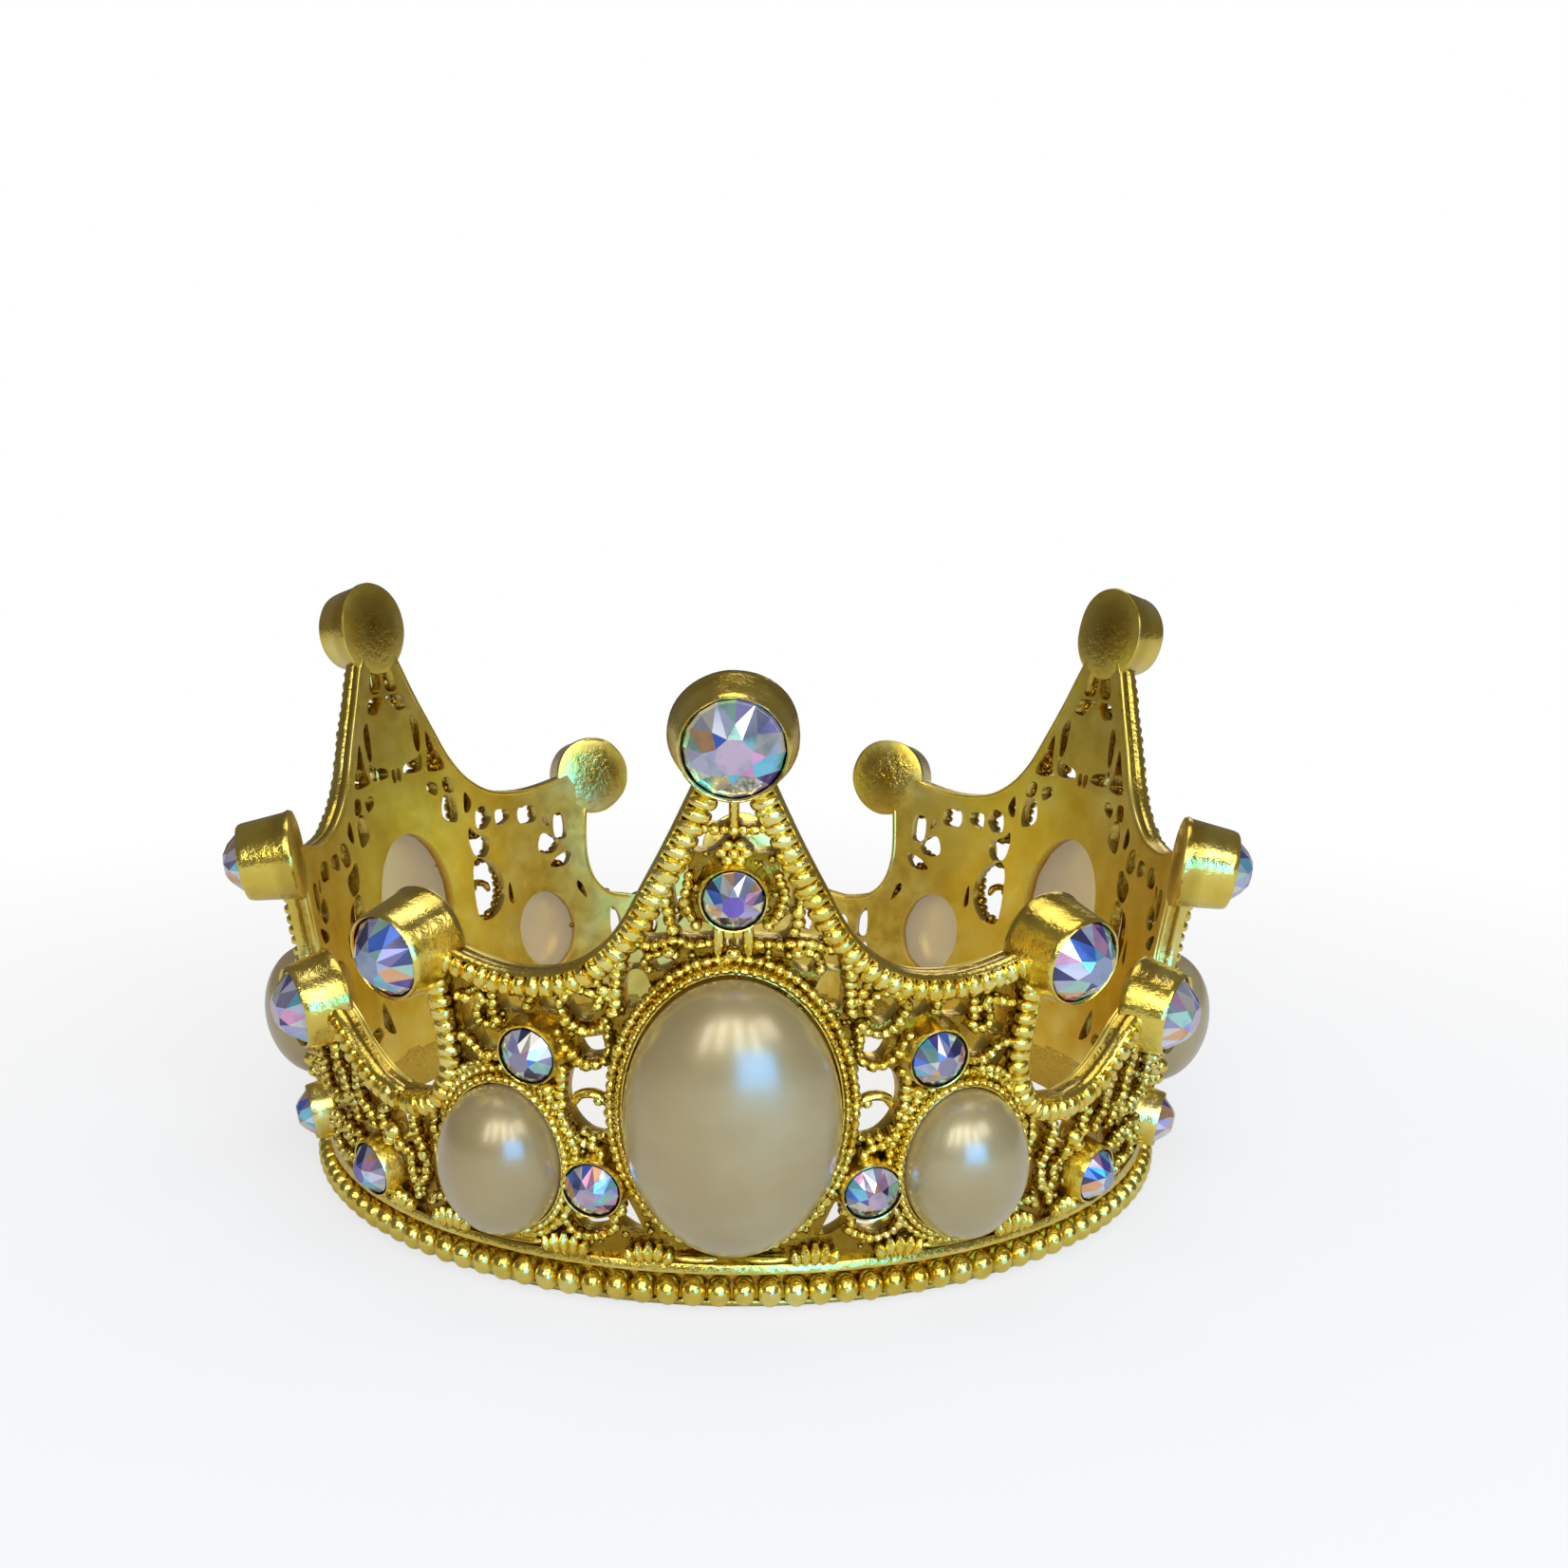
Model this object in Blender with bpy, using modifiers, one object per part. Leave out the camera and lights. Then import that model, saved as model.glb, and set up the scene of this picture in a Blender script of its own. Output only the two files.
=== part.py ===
"""A small gilt crown: three identical cast wall panels soldered into a flared ring, with
oval pearl cabochons and faceted stones glued into seats and cups on the wall.

Metres, +Z up. The foot rests on the XY plane and the front peak faces -Y. A place on the
wall is given by its arc (the length along the foot's circle, from the panel's own peak, to
the right as seen from outside), its height, and its offset out of the wall's outer face.
"""

import math

import bmesh
import bpy
from mathutils import Matrix, Vector

MM = 0.001

# The ring.
BASE_RADIUS = 30.0 * MM  # outer face of the wall at the foot
WALL_SLOPE = 0.147  # how far the wall leans out per unit of height
WALL_THICKNESS = 1.5 * MM
PANEL_COUNT = 3
AXIS_Y = 1.55 * MM  # sets the middle of the crown's depth on the origin
SEAM_ANGLE = 42.0  # degrees from a peak to the bottom of the dip beside it
SEAM_GAP = 0.3 * MM
BEND_STEP = 7.5  # degrees of wall in one flat facet
FOOT_EXTRA = 0.8 * MM  # wall below the foot, cut off level
WELD = 0.01 * MM
FLAT_ANGLE = math.radians(0.5)  # faces closer than this are one flat face
TIDY_ANGLE = math.radians(4.0)  # and on the joined panel, where wires meet the wall

# The upper edge of one half of a peak, and of one half of the dip beside it: (arc, height).
PEAK_EDGE = [
    (1.8, 34.6), (3.3, 31.0), (4.7, 28.0), (5.9, 25.6), (7.4, 23.7),
    (9.4, 22.4), (11.8, 22.0), (14.0, 22.2), (16.6, 22.9),
]
POST_EDGE = [(18.3, 20.4), (18.05, 17.5), (18.1, 15.4), (18.7, 13.6), (20.0, 12.4), (22.0, 12.05)]
DIP_EDGE = [(22.0, 12.05), (24.2, 12.6), (26.1, 13.9), (27.6, 15.3), (29.0, 16.2)]
EDGE_WIRE_RADIUS = 0.55 * MM
EDGE_WIRE_INSET = 0.6 * MM
EDGE_WIRE_OFFSET = 0.15 * MM

# The half round moulding above the foot.
FOOT_WIRE_RADIUS = 0.75 * MM
FOOT_WIRE_HEIGHT = 2.2 * MM
FOOT_WIRE_OFFSET = 0.4 * MM

# Gaps pierced through the wall, on the right half of a panel's peak.
PIERCINGS = [
    [(0.5, 33.1), (0.5, 32.0), (1.5, 32.0), (1.2, 33.1)],
    [(0.6, 31.0), (0.7, 30.2), (1.7, 29.8), (2.0, 30.2), (1.7, 31.0)],
    [(3.2, 27.4), (3.1, 25.9), (3.4, 25.0), (4.6, 25.0), (4.3, 26.4)],
    [(1.1, 25.2), (2.5, 25.2), (2.2, 26.1), (1.4, 26.1)],
    [(4.9, 20.7), (5.7, 21.4), (5.4, 22.4), (4.6, 22.1)],
    [(6.9, 18.2), (7.3, 17.4), (8.1, 17.3), (8.2, 18.5), (7.0, 19.4)],
    [(7.2, 12.9), (8.1, 12.2), (9.0, 12.6), (9.3, 14.0), (8.5, 15.6), (7.1, 16.1)],
    [(5.3, 5.4), (6.6, 6.0), (6.2, 7.2)],
    [(13.8, 16.7), (14.6, 16.6), (14.9, 17.3), (13.9, 17.9)],
    [(8.5, 19.9), (9.2, 19.4), (9.9, 20.0), (9.5, 20.8), (8.6, 20.8)],
    [(12.2, 19.3), (13.1, 19.3), (13.1, 20.2), (12.2, 20.2)],
    [(15.2, 17.9), (16.2, 17.7), (16.2, 19.0), (15.3, 19.2)],
    [(8.0, 5.3), (9.0, 5.1), (9.1, 5.9), (8.2, 6.0)],
    [(19.2, 6.2), (20.0, 5.8), (20.3, 7.1), (19.5, 7.5)],
]
PANEL_NAMES = ["front", "right", "left"]

# Pearl cabochons: (half width, half height, centre height, angle, tilt).
LARGE_PEARL = dict(half_width=6.5, half_height=9.0, height=14.0, angle=0.0, tilt=0.0)
SMALL_PEARL = dict(half_width=4.0, half_height=5.0, height=9.7, angle=26.2, tilt=7.0)
PEARL_BELLY = {"large": 4.6 * MM, "small": 3.6 * MM}  # from the widest section to the top
PEARL_GIRDLE = {"large": 1.4 * MM, "small": 1.1 * MM}  # offset of the widest section
PEARL_BACK = 0.3 * MM  # offset of the flat back, over a seat at offset 0
PEARL_CLEARANCE = 0.2 * MM
PEARL_BEZEL = 0.5 * MM  # wall of the seat
PEARL_BEZEL_TOP = 0.9 * MM
SEAT_DEPTH = 1.3 * MM
BACK_OPENING = 0.68  # open back of the seat, as a fraction of the pearl
OPENING_CUT = (-4.0 * MM, 1.0 * MM)  # offsets between which the open back is cut
POCKET_CUT_TOP = 6.0 * MM  # offset to which the pockets are cut, clear of every rim
LEVEL_CUT = (200.0 * MM, 20.0 * MM)  # side and depth of the block that levels the foot

# Faceted stones. A cup is a short drum that stands out of a finial; a bezel is a low ring.
# The offsets are of the seat's floor, the stone's back, its girdle, its table and the rim.
TALL_CUP = dict(back=3.7, rim=3.2, pocket=2.92, stone=2.7)
LOW_CUP = dict(back=3.3, rim=2.9, pocket=2.62, stone=2.4)
DIP_CUP = dict(back=3.3, rim=2.9, pocket=2.62, stone=2.4)
CUP_OFFSETS = dict(foot=-1.5, floor=0.7, stone_back=1.0, girdle=2.2, table=3.8, top=2.5)
SHORT_CUP_OFFSETS = dict(foot=-1.5, floor=0.0, stone_back=0.3, girdle=1.4, table=3.0, top=1.7)
BEZEL = dict(back=2.15, rim=2.1, pocket=1.86, stone=1.64)
BEZEL_OFFSETS = dict(foot=-1.2, floor=-0.3, stone_back=0.0, girdle=0.9, table=2.0, top=1.1)
TABLE_RATIO = 0.45
BACK_RATIO = 0.9
STONES = [
    # name, angle, height, seat, offsets
    ("tall_finial_stone", 0.0, 36.7, TALL_CUP, SHORT_CUP_OFFSETS),
    ("flank_finial_stone_l", -36.1, 22.7, LOW_CUP, CUP_OFFSETS),
    ("flank_finial_stone_r", 36.1, 22.7, LOW_CUP, CUP_OFFSETS),
    ("dip_finial_stone", 60.0, 15.7, DIP_CUP, SHORT_CUP_OFFSETS),
    ("peak_stone", 0.0, 27.7, BEZEL, BEZEL_OFFSETS),
    ("mid_stone_l", -21.6, 17.1, BEZEL, BEZEL_OFFSETS),
    ("mid_stone_r", 21.6, 17.1, BEZEL, BEZEL_OFFSETS),
    ("low_stone_l", -15.4, 8.5, BEZEL, BEZEL_OFFSETS),
    ("low_stone_r", 15.4, 8.5, BEZEL, BEZEL_OFFSETS),
    ("dip_stone_l", 48.7, 5.8, BEZEL, BEZEL_OFFSETS),
    ("dip_stone_r", 71.3, 5.8, BEZEL, BEZEL_OFFSETS),
]

CUP_SEGMENTS = 24
BEZEL_SEGMENTS = 14
CUP_STONE_SEGMENTS = 12
BEZEL_STONE_SEGMENTS = 8
LARGE_OVAL_SEGMENTS = 28
SMALL_OVAL_SEGMENTS = 20
EDGE_SUBDIVISIONS = 2

GOLD = ("cast gilt metal", (0.92, 0.70, 0.20, 1.0), 0.22, 1.0)
PEARL = ("pearl cabochon", (0.88, 0.83, 0.72, 1.0), 0.18, 0.0)
CRYSTAL = ("iridescent crystal", (0.72, 0.78, 0.86, 1.0), 0.05, 0.0)


def clear_scene():
    for obj in list(bpy.data.objects):
        bpy.data.objects.remove(obj, do_unlink=True)


def new_collection(name):
    collection = bpy.data.collections.new(name)
    bpy.context.scene.collection.children.link(collection)
    return collection


def new_material(settings, suffix):
    label, colour, roughness, metallic = settings
    material = bpy.data.materials.new(label + " " + suffix)
    material.use_nodes = True
    shader = material.node_tree.nodes["Principled BSDF"]
    shader.inputs["Base Color"].default_value = colour
    shader.inputs["Roughness"].default_value = roughness
    shader.inputs["Metallic"].default_value = metallic
    return material


def wall_point(arc, height, offset):
    """The place on or off the wall, about the crown's axis."""
    angle = arc / BASE_RADIUS
    outward = Vector((math.sin(angle), -math.cos(angle), 0.0))
    normal = (outward - Vector((0.0, 0.0, WALL_SLOPE))).normalized()
    radius = BASE_RADIUS + WALL_SLOPE * height
    return outward * radius + Vector((0.0, 0.0, height)) + normal * offset


def wall_frame(angle_degrees, height):
    """A frame on the wall's outer face: X along the wall, Y up it and Z out of it."""
    angle = math.radians(angle_degrees)
    place = wall_point(angle * BASE_RADIUS, height, 0.0)
    across = Vector((math.cos(angle), math.sin(angle), 0.0))
    outward = wall_point(angle * BASE_RADIUS, height, 1.0) - place
    up = outward.cross(across)
    rotation = Matrix((across, up, outward)).transposed().to_4x4()
    return Matrix.Translation(place) @ rotation


def smooth_line(points, subdivisions):
    """Catmull-Rom points through a list of (arc, height) in millimetres, as metres."""
    line = []
    last = len(points) - 1
    for i in range(last):
        a = Vector(points[max(i - 1, 0)])
        b = Vector(points[i])
        c = Vector(points[i + 1])
        d = Vector(points[min(i + 2, last)])
        for step in range(subdivisions):
            t = step / subdivisions
            line.append(
                0.5 * (2 * b + (c - a) * t + (2 * a - 5 * b + 4 * c - d) * t * t
                       + (3 * b - a - 3 * c + d) * t ** 3)
            )
    line.append(Vector(points[last]))
    return [point * MM for point in line]


def inset_line(line, distance):
    """The line moved to its right-hand side, which is the metal's side."""
    moved = []
    for i, point in enumerate(line):
        along = (line[min(i + 1, len(line) - 1)] - line[max(i - 1, 0)]).normalized()
        moved.append(point + Vector((along.y, -along.x)) * distance)
    return moved


def mirrored(line, about=0.0):
    """The line seen in a mirror at that arc, still running from left to right."""
    return [Vector((2 * about - point.x, point.y)) for point in reversed(line)]


def face_outward(bm):
    """Turns the faces of a closed body round if they point in."""
    if bm.calc_volume(signed=True) < 0:
        bmesh.ops.reverse_faces(bm, faces=bm.faces)


def closed_solid(name, mesh_builder):
    mesh = bpy.data.meshes.new(name)
    bm = bmesh.new()
    mesh_builder(bm)
    face_outward(bm)
    bm.to_mesh(mesh)
    bm.free()
    return bpy.data.objects.new(name, mesh)


def mesh_from_curve(curve_object):
    """A welded mesh object in place of a curve object."""
    graph = bpy.context.evaluated_depsgraph_get()
    mesh = bpy.data.meshes.new_from_object(curve_object.evaluated_get(graph))
    solid = bpy.data.objects.new(curve_object.name + "_solid", mesh)
    solid.matrix_world = curve_object.matrix_world
    bm = bmesh.new()
    bm.from_mesh(mesh)
    bmesh.ops.remove_doubles(bm, verts=bm.verts, dist=WELD)
    bm.to_mesh(mesh)
    bm.free()
    bpy.data.objects.remove(curve_object, do_unlink=True)
    return solid


def facet_point(arc, height, offset):
    """The place on the wall's flat facet, which spans two lines that run up the wall."""
    step = math.radians(BEND_STEP) * BASE_RADIUS
    start = (math.floor(arc / step - 0.5) + 0.5) * step
    ends = wall_point(start, height, offset), wall_point(start + step, height, offset)
    return ends[0].lerp(ends[1], (arc - start) / step)


def bend_onto_wall(solid):
    """Wraps a flat solid (arc, height, offset) round the flared wall, facet by facet."""
    step = math.radians(BEND_STEP) * BASE_RADIUS
    bm = bmesh.new()
    bm.from_mesh(solid.data)
    bmesh.ops.dissolve_limit(
        bm, angle_limit=FLAT_ANGLE, verts=bm.verts, edges=bm.edges, delimit={"NORMAL"}
    )
    low = min(vert.co.x for vert in bm.verts)
    high = max(vert.co.x for vert in bm.verts)
    for k in range(math.floor(low / step), math.ceil(high / step)):
        everything = bm.verts[:] + bm.edges[:] + bm.faces[:]
        bmesh.ops.bisect_plane(
            bm, geom=everything, dist=WELD, plane_co=((k + 0.5) * step, 0, 0),
            plane_no=(1, 0, 0),
        )
    bmesh.ops.remove_doubles(bm, verts=bm.verts, dist=WELD)
    bmesh.ops.triangulate(bm, faces=bm.faces)
    for vert in bm.verts:
        vert.co = facet_point(vert.co.x, vert.co.y, vert.co.z)
    face_outward(bm)
    bm.to_mesh(solid.data)
    bm.free()
    return solid


def curve_object(name, lines, closed):
    """A poly curve through (arc, height[, offset]) points."""
    curve = bpy.data.curves.new(name, "CURVE")
    for line in lines:
        spline = curve.splines.new("POLY")
        spline.points.add(len(line) - 1)
        for slot, point in zip(spline.points, line):
            slot.co = (*point, 1.0) if len(point) == 3 else (*point, 0.0, 1.0)
        spline.use_cyclic_u = closed
    obj = bpy.data.objects.new(name, curve)
    bpy.context.scene.collection.objects.link(obj)
    return obj


def plate_solid(name, outlines, low, high):
    """A flat plate between two offsets, with holes, bent round the wall."""
    outline = curve_object(name, outlines, True)
    outline.data.dimensions = "2D"
    outline.data.fill_mode = "BOTH"
    outline.data.extrude = (high - low) / 2
    bpy.context.view_layer.update()
    solid = mesh_from_curve(outline)
    for vert in solid.data.vertices:
        vert.co.z += (low + high) / 2
    return bend_onto_wall(solid)


def wire_solid(name, line, radius, offset):
    """A round wire laid along the wall."""
    wire = curve_object(name, [[(p[0], p[1], offset) for p in line]], False)
    wire.data.dimensions = "3D"
    wire.data.bevel_depth = radius
    wire.data.bevel_resolution = 1
    wire.data.use_fill_caps = True
    bpy.context.view_layer.update()
    return bend_onto_wall(mesh_from_curve(wire))


def drum_solid(name, frame, low, high, low_radii, high_radii, segments):
    """A round or oval drum standing out of the wall, between two offsets."""

    def build(bm):
        bmesh.ops.create_cone(
            bm, cap_ends=True, segments=segments,
            radius1=1.0, radius2=high_radii[0] / low_radii[0], depth=high - low,
            matrix=Matrix.Translation((0, 0, (low + high) / 2)),
        )
        bmesh.ops.scale(bm, vec=(low_radii[0], low_radii[1], 1.0), verts=bm.verts)

    solid = closed_solid(name, build)
    solid.data.transform(frame)
    return solid


def join(target, tool, operation, helpers):
    helpers.objects.link(tool)
    tool.hide_render = True
    tool.display_type = "WIRE"
    boolean = target.modifiers.new(tool.name, "BOOLEAN")
    boolean.operation = operation
    boolean.solver = "MANIFOLD"
    boolean.object = tool


def seat_frame(pearl):
    tilt = Matrix.Rotation(math.radians(pearl["tilt"]), 4, "Z")
    return wall_frame(pearl["angle"], pearl["height"] * MM) @ tilt


def pearls_on_panel():
    """(name, size, settings) of the three pearls of one panel."""
    left = dict(SMALL_PEARL, angle=-SMALL_PEARL["angle"], tilt=-SMALL_PEARL["tilt"])
    return [
        ("large_pearl", "large", LARGE_PEARL),
        ("small_pearl_l", "small", left),
        ("small_pearl_r", "small", SMALL_PEARL),
    ]


def panel_outlines():
    """The panel's outer edge, from its left seam to its right one, and its gaps."""
    seam = math.radians(SEAM_ANGLE) * BASE_RADIUS
    dip_middle = math.radians(180 / PANEL_COUNT) * BASE_RADIUS
    right_seam = 2 * dip_middle - seam
    peak = smooth_line(PEAK_EDGE, EDGE_SUBDIVISIONS)
    post = smooth_line(POST_EDGE, EDGE_SUBDIVISIONS)
    dip = smooth_line(DIP_EDGE, EDGE_SUBDIVISIONS)
    half = inset_line(peak, 0.1 * MM) + inset_line(post, 0.1 * MM)
    top = mirrored(half) + half + inset_line(dip, 0.1 * MM)[1:]
    top += mirrored(inset_line(dip, 0.1 * MM), dip_middle)
    left_end = -seam + SEAM_GAP / 2
    right_end = right_seam - SEAM_GAP / 2
    top[0].x = left_end
    top[-1].x = right_end
    foot = [Vector((right_end, -FOOT_EXTRA)), Vector((left_end, -FOOT_EXTRA))]
    outlines = [top + foot]
    for gap in PIERCINGS:
        points = [Vector(point) * MM for point in gap]
        outlines.append(points)
        outlines.append(mirrored(points))
    return outlines


def edge_wires():
    """The centre lines of the wires that border one panel, seam to seam."""
    dip_middle = math.radians(180 / PANEL_COUNT) * BASE_RADIUS
    peak = inset_line(smooth_line(PEAK_EDGE, EDGE_SUBDIVISIONS), EDGE_WIRE_INSET)
    post = inset_line(smooth_line(POST_EDGE, EDGE_SUBDIVISIONS), EDGE_WIRE_INSET)
    dip = inset_line(smooth_line(DIP_EDGE, EDGE_SUBDIVISIONS), EDGE_WIRE_INSET)
    from_post = post[:-1] + dip
    left_post = mirrored(post)
    left_post[0].x = -math.radians(SEAM_ANGLE) * BASE_RADIUS + SEAM_GAP / 2
    far_dip = mirrored(dip, dip_middle)
    far_dip[-1].x = 2 * dip_middle - math.radians(SEAM_ANGLE) * BASE_RADIUS - SEAM_GAP / 2
    return [mirrored(peak), peak, from_post, left_post, far_dip]


def foot_wire():
    seam = math.radians(SEAM_ANGLE) * BASE_RADIUS
    start = -seam + SEAM_GAP / 2
    end = 2 * math.radians(180 / PANEL_COUNT) * BASE_RADIUS - seam - SEAM_GAP / 2
    return [Vector((start, FOOT_WIRE_HEIGHT)), Vector((end, FOOT_WIRE_HEIGHT))]


def build_panel_mesh(helpers):
    """One panel with its wires, cups and bezels joined on and its seats cut."""
    panel = plate_solid("panel_plate", panel_outlines(), -WALL_THICKNESS, 0.0)
    helpers.objects.link(panel)
    for number, line in enumerate(edge_wires()):
        wire = wire_solid(f"edge_wire_{number}", line, EDGE_WIRE_RADIUS, EDGE_WIRE_OFFSET)
        join(panel, wire, "UNION", helpers)
    foot = wire_solid("foot_moulding", foot_wire(), FOOT_WIRE_RADIUS, FOOT_WIRE_OFFSET)
    join(panel, foot, "UNION", helpers)
    for name, size, pearl in pearls_on_panel():
        segments = LARGE_OVAL_SEGMENTS if size == "large" else SMALL_OVAL_SEGMENTS
        outer = [
            pearl[side] * MM + PEARL_CLEARANCE + PEARL_BEZEL
            for side in ("half_width", "half_height")
        ]
        pad = drum_solid(
            "seat_" + name, seat_frame(pearl), -SEAT_DEPTH, PEARL_BEZEL_TOP,
            outer, outer, segments,
        )
        join(panel, pad, "UNION", helpers)
    for name, angle, height, seat, offsets in STONES:
        segments = BEZEL_SEGMENTS if seat is BEZEL else CUP_SEGMENTS
        drum = drum_solid(
            "cup_" + name, wall_frame(angle, height * MM),
            offsets["foot"] * MM, offsets["top"] * MM,
            [seat["back"] * MM] * 2, [seat["rim"] * MM] * 2, segments,
        )
        join(panel, drum, "UNION", helpers)
    for name, size, pearl in pearls_on_panel():
        segments = LARGE_OVAL_SEGMENTS if size == "large" else SMALL_OVAL_SEGMENTS
        inner = [
            pearl[side] * MM + PEARL_CLEARANCE for side in ("half_width", "half_height")
        ]
        pocket = drum_solid(
            "pocket_" + name, seat_frame(pearl), 0.0, POCKET_CUT_TOP, inner, inner, segments
        )
        join(panel, pocket, "DIFFERENCE", helpers)
        hole = [pearl[side] * MM * BACK_OPENING for side in ("half_width", "half_height")]
        opening = drum_solid(
            "open_back_" + name, seat_frame(pearl), *OPENING_CUT, hole, hole, segments
        )
        join(panel, opening, "DIFFERENCE", helpers)
    for name, angle, height, seat, offsets in STONES:
        segments = BEZEL_SEGMENTS if seat is BEZEL else CUP_SEGMENTS
        pocket = drum_solid(
            "pocket_" + name, wall_frame(angle, height * MM),
            offsets["floor"] * MM, POCKET_CUT_TOP,
            [seat["pocket"] * MM] * 2, [seat["pocket"] * MM] * 2, segments,
        )
        join(panel, pocket, "DIFFERENCE", helpers)

    def block(bm):
        bmesh.ops.create_cube(bm, size=1.0)
        side, depth = LEVEL_CUT
        bmesh.ops.scale(bm, vec=(side, side, depth), verts=bm.verts)
        bmesh.ops.translate(bm, vec=(0, 0, -depth / 2), verts=bm.verts)

    join(panel, closed_solid("level_foot", block), "DIFFERENCE", helpers)
    bpy.context.view_layer.update()
    graph = bpy.context.evaluated_depsgraph_get()
    mesh = bpy.data.meshes.new_from_object(panel.evaluated_get(graph))
    mesh.name = "panel"
    bm = bmesh.new()
    bm.from_mesh(mesh)
    bmesh.ops.remove_doubles(bm, verts=bm.verts, dist=WELD / 2)
    bmesh.ops.dissolve_degenerate(bm, edges=bm.edges, dist=WELD / 2)
    bmesh.ops.dissolve_limit(bm, angle_limit=TIDY_ANGLE, verts=bm.verts, edges=bm.edges)
    bmesh.ops.triangulate(bm, faces=bm.faces)
    bm.to_mesh(mesh)
    bm.free()
    mesh.shade_smooth()
    mesh.set_sharp_from_angle(angle=math.radians(35))
    for obj in list(helpers.objects):
        bpy.data.objects.remove(obj, do_unlink=True)
    return mesh


def pearl_mesh(size, pearl):
    """A cabochon: the upper part of an ellipsoid over a flat back."""
    segments, rings = (20, 12) if size == "large" else (16, 10)
    girdle = PEARL_GIRDLE[size]
    belly = PEARL_BELLY[size]

    def build(bm):
        bmesh.ops.create_uvsphere(bm, u_segments=segments, v_segments=rings, radius=1.0)
        bmesh.ops.scale(
            bm, vec=(pearl["half_width"] * MM, pearl["half_height"] * MM, belly),
            verts=bm.verts,
        )
        bmesh.ops.translate(bm, vec=(0, 0, girdle), verts=bm.verts)
        everything = bm.verts[:] + bm.edges[:] + bm.faces[:]
        cut = bmesh.ops.bisect_plane(
            bm, geom=everything, plane_co=(0, 0, PEARL_BACK), plane_no=(0, 0, 1),
            clear_inner=True,
        )
        rim = [item for item in cut["geom_cut"] if isinstance(item, bmesh.types.BMEdge)]
        bmesh.ops.contextual_create(bm, geom=rim)

    solid = closed_solid(size + "_pearl", build)
    mesh = solid.data
    bpy.data.objects.remove(solid, do_unlink=True)
    mesh.shade_smooth()
    mesh.set_sharp_from_angle(angle=math.radians(50))
    return mesh


def stone_mesh(name, seat, offsets, segments):
    """A turned blank with a flat back, a girdle, a sloping crown and a flat table."""
    radius = seat["stone"] * MM
    profile = [
        (0.0, offsets["table"] * MM),
        (radius * TABLE_RATIO, offsets["table"] * MM),
        (radius * 0.93, (offsets["girdle"] + 0.3) * MM),
        (radius, offsets["girdle"] * MM),
        (radius * BACK_RATIO, offsets["stone_back"] * MM),
        (0.0, offsets["stone_back"] * MM),
    ]
    mesh = bpy.data.meshes.new(name + "_profile")
    edges = [(i, i + 1) for i in range(len(profile) - 1)]
    mesh.from_pydata([(x, 0.0, z) for x, z in profile], edges, [])
    turned = bpy.data.objects.new(name, mesh)
    bpy.context.scene.collection.objects.link(turned)
    screw = turned.modifiers.new("turn", "SCREW")
    screw.steps = segments
    screw.render_steps = segments
    screw.use_merge_vertices = True
    screw.merge_threshold = 0.00001
    bpy.context.view_layer.update()
    graph = bpy.context.evaluated_depsgraph_get()
    solid = bpy.data.meshes.new_from_object(turned.evaluated_get(graph))
    solid.name = name
    bpy.data.objects.remove(turned, do_unlink=True)
    solid.shade_flat()
    return solid


def place(name, mesh, matrix, material, collection, parent):
    """One named piece, which shares its mesh with the others of its kind."""
    piece = bpy.data.objects.new(name, mesh)
    collection.objects.link(piece)
    piece.parent = parent
    piece.matrix_local = matrix
    if not mesh.materials:
        mesh.materials.append(None)
    piece.material_slots[0].link = "OBJECT"
    piece.material_slots[0].material = material
    return piece


def build_crown():
    clear_scene()
    crown = new_collection("crown")
    helpers = new_collection("cutters")
    axis = bpy.data.objects.new("crown_axis", None)
    axis.location = (0.0, AXIS_Y, 0.0)
    crown.objects.link(axis)
    panel_mesh = build_panel_mesh(helpers)
    pearl_meshes = {
        "large": pearl_mesh("large", LARGE_PEARL),
        "small": pearl_mesh("small", SMALL_PEARL),
    }
    stone_meshes = {
        id(TALL_CUP): stone_mesh(
            "tall_finial_stone", TALL_CUP, SHORT_CUP_OFFSETS, CUP_STONE_SEGMENTS
        ),
        id(DIP_CUP): stone_mesh(
            "dip_finial_stone", DIP_CUP, SHORT_CUP_OFFSETS, CUP_STONE_SEGMENTS
        ),
        id(LOW_CUP): stone_mesh("low_finial_stone", LOW_CUP, CUP_OFFSETS, CUP_STONE_SEGMENTS),
        id(BEZEL): stone_mesh("bezel_stone", BEZEL, BEZEL_OFFSETS, BEZEL_STONE_SEGMENTS),
    }
    for number, side in enumerate(PANEL_NAMES):
        turn = Matrix.Rotation(math.radians(number * 360 / PANEL_COUNT), 4, "Z")
        gold = new_material(GOLD, side)
        place("panel_" + side, panel_mesh, turn, gold, crown, axis)
        for name, size, pearl in pearls_on_panel():
            frame = turn @ seat_frame(pearl)
            nacre = new_material(PEARL, name + " " + side)
            place(f"{name}_{side}", pearl_meshes[size], frame, nacre, crown, axis)
        for name, angle, height, seat, offsets in STONES:
            frame = turn @ wall_frame(angle, height * MM)
            glass = new_material(CRYSTAL, name + " " + side)
            place(f"{name}_{side}", stone_meshes[id(seat)], frame, glass, crown, axis)


build_crown()
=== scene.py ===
"""Looks of the small gilt crown: the granulated cast wall, its pearls and its stones.

Sizes are millimetres until a mesh is made. A place on the wall is (arc, height, offset): the
length along the foot's circle from a panel's peak, the height up the wall, and how far it
stands out of the wall's outer face. One panel is made round the ring's axis and turned to
its three places.
"""

import math
import random

import bmesh
import bpy
import numpy as np
from mathutils import Matrix, Vector, noise


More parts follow.
